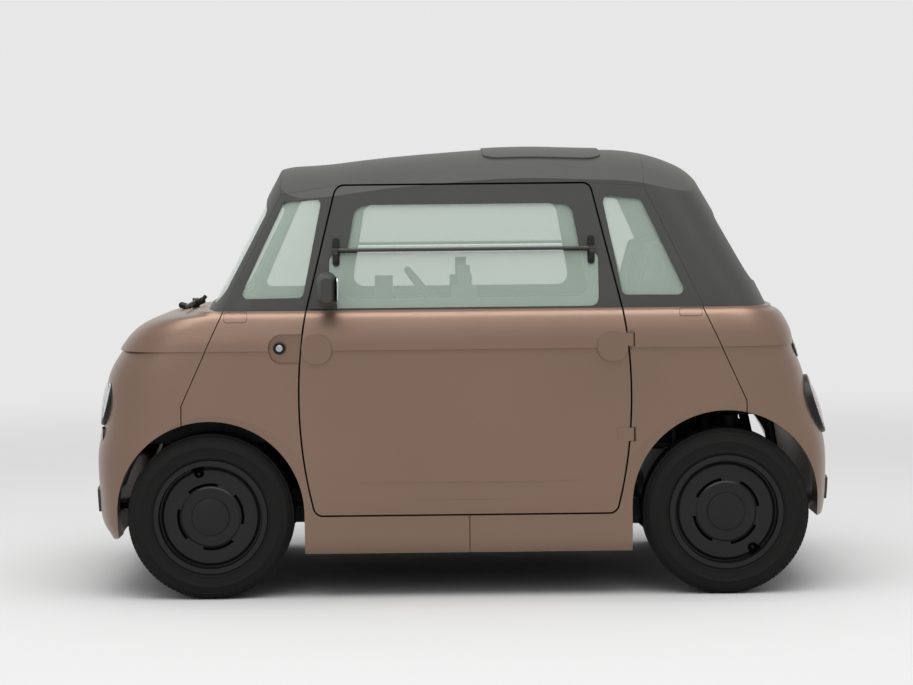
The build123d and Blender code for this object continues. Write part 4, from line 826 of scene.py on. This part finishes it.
for pad, side_name in zip(cushion + backrest, ("left", "right", "left", "right")):
    middle_y = seat_y if side_name == "left" else -seat_y
    for edge_name, offset in (("inner", 0.205), ("outer", -0.205)):
        cord = piping(pad, (0, middle_y + offset, 0), (0, 1, 0), f"{pad.name}_piping_{edge_name}")
        print(cord.name, len(cord.data.splines[0].points), "points")

# %% [markdown]
# ## Driver's place and mirrors
# The steering wheel's ring gets a padded grip, the pod behind it a dark display, and each door mirror a glass.

# %% Steering wheel
joints = frame["record"]["behaviour"]["joints"]
steering = next(joint for joint in joints if joint["name"] == "steering_wheel")
hub_place = standing_along(Vector(steering["pos_m"]), steering["axis"])
GRIP_RADIUS, GRIP, THUMB_REST = 0.160, 0.0112, 0.06
grip = [(GRIP_RADIUS + GRIP * 0.92 * cos(k * pi / 10), GRIP * sin(k * pi / 10)) for k in range(20)]
bm = turned(grip, 96, Matrix.Identity(4), closed=True)
for vert in bm.verts:
    rest = cos(2 * atan2(vert.co.y, vert.co.x)) ** 8
    vert.co.z *= 1 + THUMB_REST * rest
    vert.co.x *= 1 + THUMB_REST / 50 * rest
    vert.co.y *= 1 + THUMB_REST / 50 * rest
bmesh.ops.transform(bm, matrix=hub_place, verts=bm.verts)
finished(bm, "steering_grip", leather, "steering_wheel", 60)
pad_outline = [(0, 0.0185), (0.030, 0.0180), (0.046, 0.0165), (0.052, 0.0140), (0.0545, 0.0100), (0.0545, 0.0060)]
finished(turned(pad_outline, 64, hub_place), "steering_pad", moulded, "steering_wheel", 60)
print("steering axis", [round(c, 3) for c in steering["axis"]])

# %% [markdown]
# The display is a thin tilted slab with rounded edges, dark and glossy.

# %% Display
bm = bmesh.new()
bmesh.ops.create_cube(bm, size=1)
bmesh.ops.scale(bm, vec=(0.004, 0.122, 0.070), verts=bm.verts)
bmesh.ops.bevel(bm, geom=bm.edges[:], offset=0.0016, segments=3, profile=0.5, affect="EDGES", material=-1)
bmesh.ops.rotate(bm, cent=(0, 0, 0), matrix=Matrix.Rotation(radians(-14), 3, "Y"), verts=bm.verts)
bmesh.ops.translate(bm, vec=(-0.2385, -0.330, 1.020), verts=bm.verts)
print("display", len(finished(bm, "display", screen, "chassis").data.polygons), "faces")

# %% [markdown]
# Each mirror glass has rounded corners and turns a little towards the driver.

# %% Mirror glasses
MIRROR_X, MIRROR_Y, MIRROR_Z = 0.4188, 0.748, 1.040
for side_name, side in (("left", -1), ("right", 1)):
    bm = bmesh.new()
    bmesh.ops.create_cube(bm, size=1)
    bmesh.ops.scale(bm, vec=(0.003, 0.098, 0.082), verts=bm.verts)
    upright = [edge for edge in bm.edges if abs((edge.verts[0].co - edge.verts[1].co).x) > 0.001]
    bmesh.ops.bevel(bm, geom=upright, offset=0.022, segments=8, profile=0.5, affect="EDGES", material=-1)
    bmesh.ops.rotate(bm, cent=(0, 0, 0), matrix=Matrix.Rotation(radians(-8 * side), 3, "Z"), verts=bm.verts)
    bmesh.ops.translate(bm, vec=(-MIRROR_X, MIRROR_Y * side, MIRROR_Z), verts=bm.verts)
    finished(bm, f"mirror_glass_{side_name}", mirror, f"door_{side_name}", 30)
    print("mirror glass at", (-MIRROR_X, MIRROR_Y * side, MIRROR_Z))

# %% [markdown]
# ## Camera, floor and light
# The photograph was taken from the car's left, a long way off, with a long lens. The floor is plain and pale, and
# the light is soft, from above and from the camera's side, so that a colour renders about as it is written.

# %% Camera
EYE = Vector((-0.078, -8.88, 1.33))
PITCH, YAW, ROLL = radians(-3.305), radians(0.383), radians(0.6)
FOCAL_PIXELS, PICTURE_WIDTH, SENSOR_WIDTH = 2468, 913, 36
look = Vector((sin(YAW) * cos(PITCH), cos(YAW) * cos(PITCH), sin(PITCH)))
camera = bpy.data.objects.new("camera", bpy.data.cameras.new("camera"))
camera.data.lens = FOCAL_PIXELS / PICTURE_WIDTH * SENSOR_WIDTH
camera.data.sensor_width = SENSOR_WIDTH
camera.location = EYE
camera.rotation_mode = "QUATERNION"
camera.rotation_quaternion = Quaternion(look, ROLL) @ look.to_track_quat("-Z", "Y")
bpy.context.scene.collection.objects.link(camera)
bpy.context.scene.camera = camera
print("lens", round(camera.data.lens, 1), "mm")

# %% [markdown]
# The floor near the car takes its shadow. Farther off it fades into the backdrop's own tone, so that no horizon
# shows behind the car. The backdrop answers only rays from the camera and those that a mirror or glass sends on:
# other rays meet the plain floor and the soft light of the world.

# %% Rays that show the background
def background_ray(tree):
    """1 for a camera, glossy or transmission ray, and 0 for a ray that only carries light."""
    path = tree.nodes.new("ShaderNodeLightPath")
    shown = path.outputs["Is Camera Ray"]
    for name in ("Is Glossy Ray", "Is Transmission Ray"):
        either = tree.nodes.new("ShaderNodeMath")
        either.operation = "MAXIMUM"
        tree.links.new(shown, either.inputs[0])
        tree.links.new(path.outputs[name], either.inputs[1])
        shown = either.outputs[0]
    return shown


# %% [markdown]
# The floor is one large sheet. Its distance from the car steers the blend from plain floor to backdrop.

# %% Floor
BACKDROP = 0.80
NEAR_FLOOR, FAR_FLOOR = 3.0, 9.0
bm = bmesh.new()
bmesh.ops.create_grid(bm, x_segments=1, y_segments=1, size=60)
floor = from_bmesh(bm, "floor")
pale = Finish("pale_floor", (0.5, 0.5, 0.5), 0.85, Specular_IOR_Level=0.0)
far_off = pale.node("ShaderNodeVectorMath", {"operation": "LENGTH"}, {0: pale.place()}, "Value")
fade = pale.node(
    "ShaderNodeMapRange",
    {"interpolation_type": "SMOOTHSTEP"},
    {"Value": far_off, "From Min": NEAR_FLOOR, "From Max": FAR_FLOOR},
    "Result",
)
backdrop = pale.tree.nodes.new("ShaderNodeEmission")
backdrop.inputs["Color"].default_value = (BACKDROP, BACKDROP, BACKDROP, 1)
blend = pale.tree.nodes.new("ShaderNodeMixShader")
pale.tree.links.new((fade * Reading(pale, background_ray(pale.tree))).socket, blend.inputs["Fac"])
pale.tree.links.new(pale.shader.outputs[0], blend.inputs[1])
pale.tree.links.new(backdrop.outputs[0], blend.inputs[2])
pale.tree.links.new(blend.outputs[0], pale.tree.nodes["Material Output"].inputs["Surface"])
floor.data.materials.append(pale.material)
print("floor fades from", NEAR_FLOOR, "to", FAR_FLOOR, "m")

# %% [markdown]
# The world's own light grows from the horizon to the zenith, as under an open sky with a light cover of cloud.

# %% World
HORIZON_LIGHT, ZENITH_LIGHT = 0.16, 1.6
world = bpy.data.worlds.new("studio")
bpy.context.scene.world = world
world.use_nodes = True
nodes, links = world.node_tree.nodes, world.node_tree.links
direction = nodes.new("ShaderNodeTexCoord")
split = nodes.new("ShaderNodeSeparateXYZ")
links.new(direction.outputs["Generated"], split.inputs[0])
sky = nodes.new("ShaderNodeMapRange")
links.new(split.outputs["Z"], sky.inputs["Value"])
for socket, value in (("From Min", 0.0), ("From Max", 1.0), ("To Min", HORIZON_LIGHT), ("To Max", ZENITH_LIGHT)):
    sky.inputs[socket].default_value = value
plain, studio = nodes.new("ShaderNodeBackground"), nodes["Background"]
links.new(sky.outputs["Result"], studio.inputs["Strength"])
studio.inputs["Color"].default_value = (1, 1, 1, 1)
plain.inputs["Color"].default_value = (BACKDROP, BACKDROP, BACKDROP, 1)
choice = nodes.new("ShaderNodeMixShader")
links.new(background_ray(world.node_tree), choice.inputs["Fac"])
links.new(studio.outputs[0], choice.inputs[1])
links.new(plain.outputs[0], choice.inputs[2])
links.new(choice.outputs[0], nodes["World Output"].inputs["Surface"])
print("sky light from", HORIZON_LIGHT, "to", ZENITH_LIGHT)

# %% [markdown]
# One wide lamp overhead shapes the shoulder and the roof, and a weak one fills the side from the front.

# %% Lamps
def softbox(name, place, target, size, power):
    lamp = bpy.data.lights.new(name, "AREA")
    lamp.shape, lamp.size, lamp.size_y, lamp.energy = "RECTANGLE", size[0], size[1], power
    holder = bpy.data.objects.new(name, lamp)
    holder.location = place
    holder.rotation_mode = "QUATERNION"
    holder.rotation_quaternion = (Vector(target) - Vector(place)).to_track_quat("-Z", "Y")
    bpy.context.scene.collection.objects.link(holder)


softbox("overhead", (0, -1.8, 5.8), (0, 0, 0.6), (7, 5.5), 320)
softbox("side_fill", (-3.0, -7.0, 3.5), (0, 0, 0.7), (4, 3), 25)
bpy.context.scene.view_settings.view_transform = "Standard"
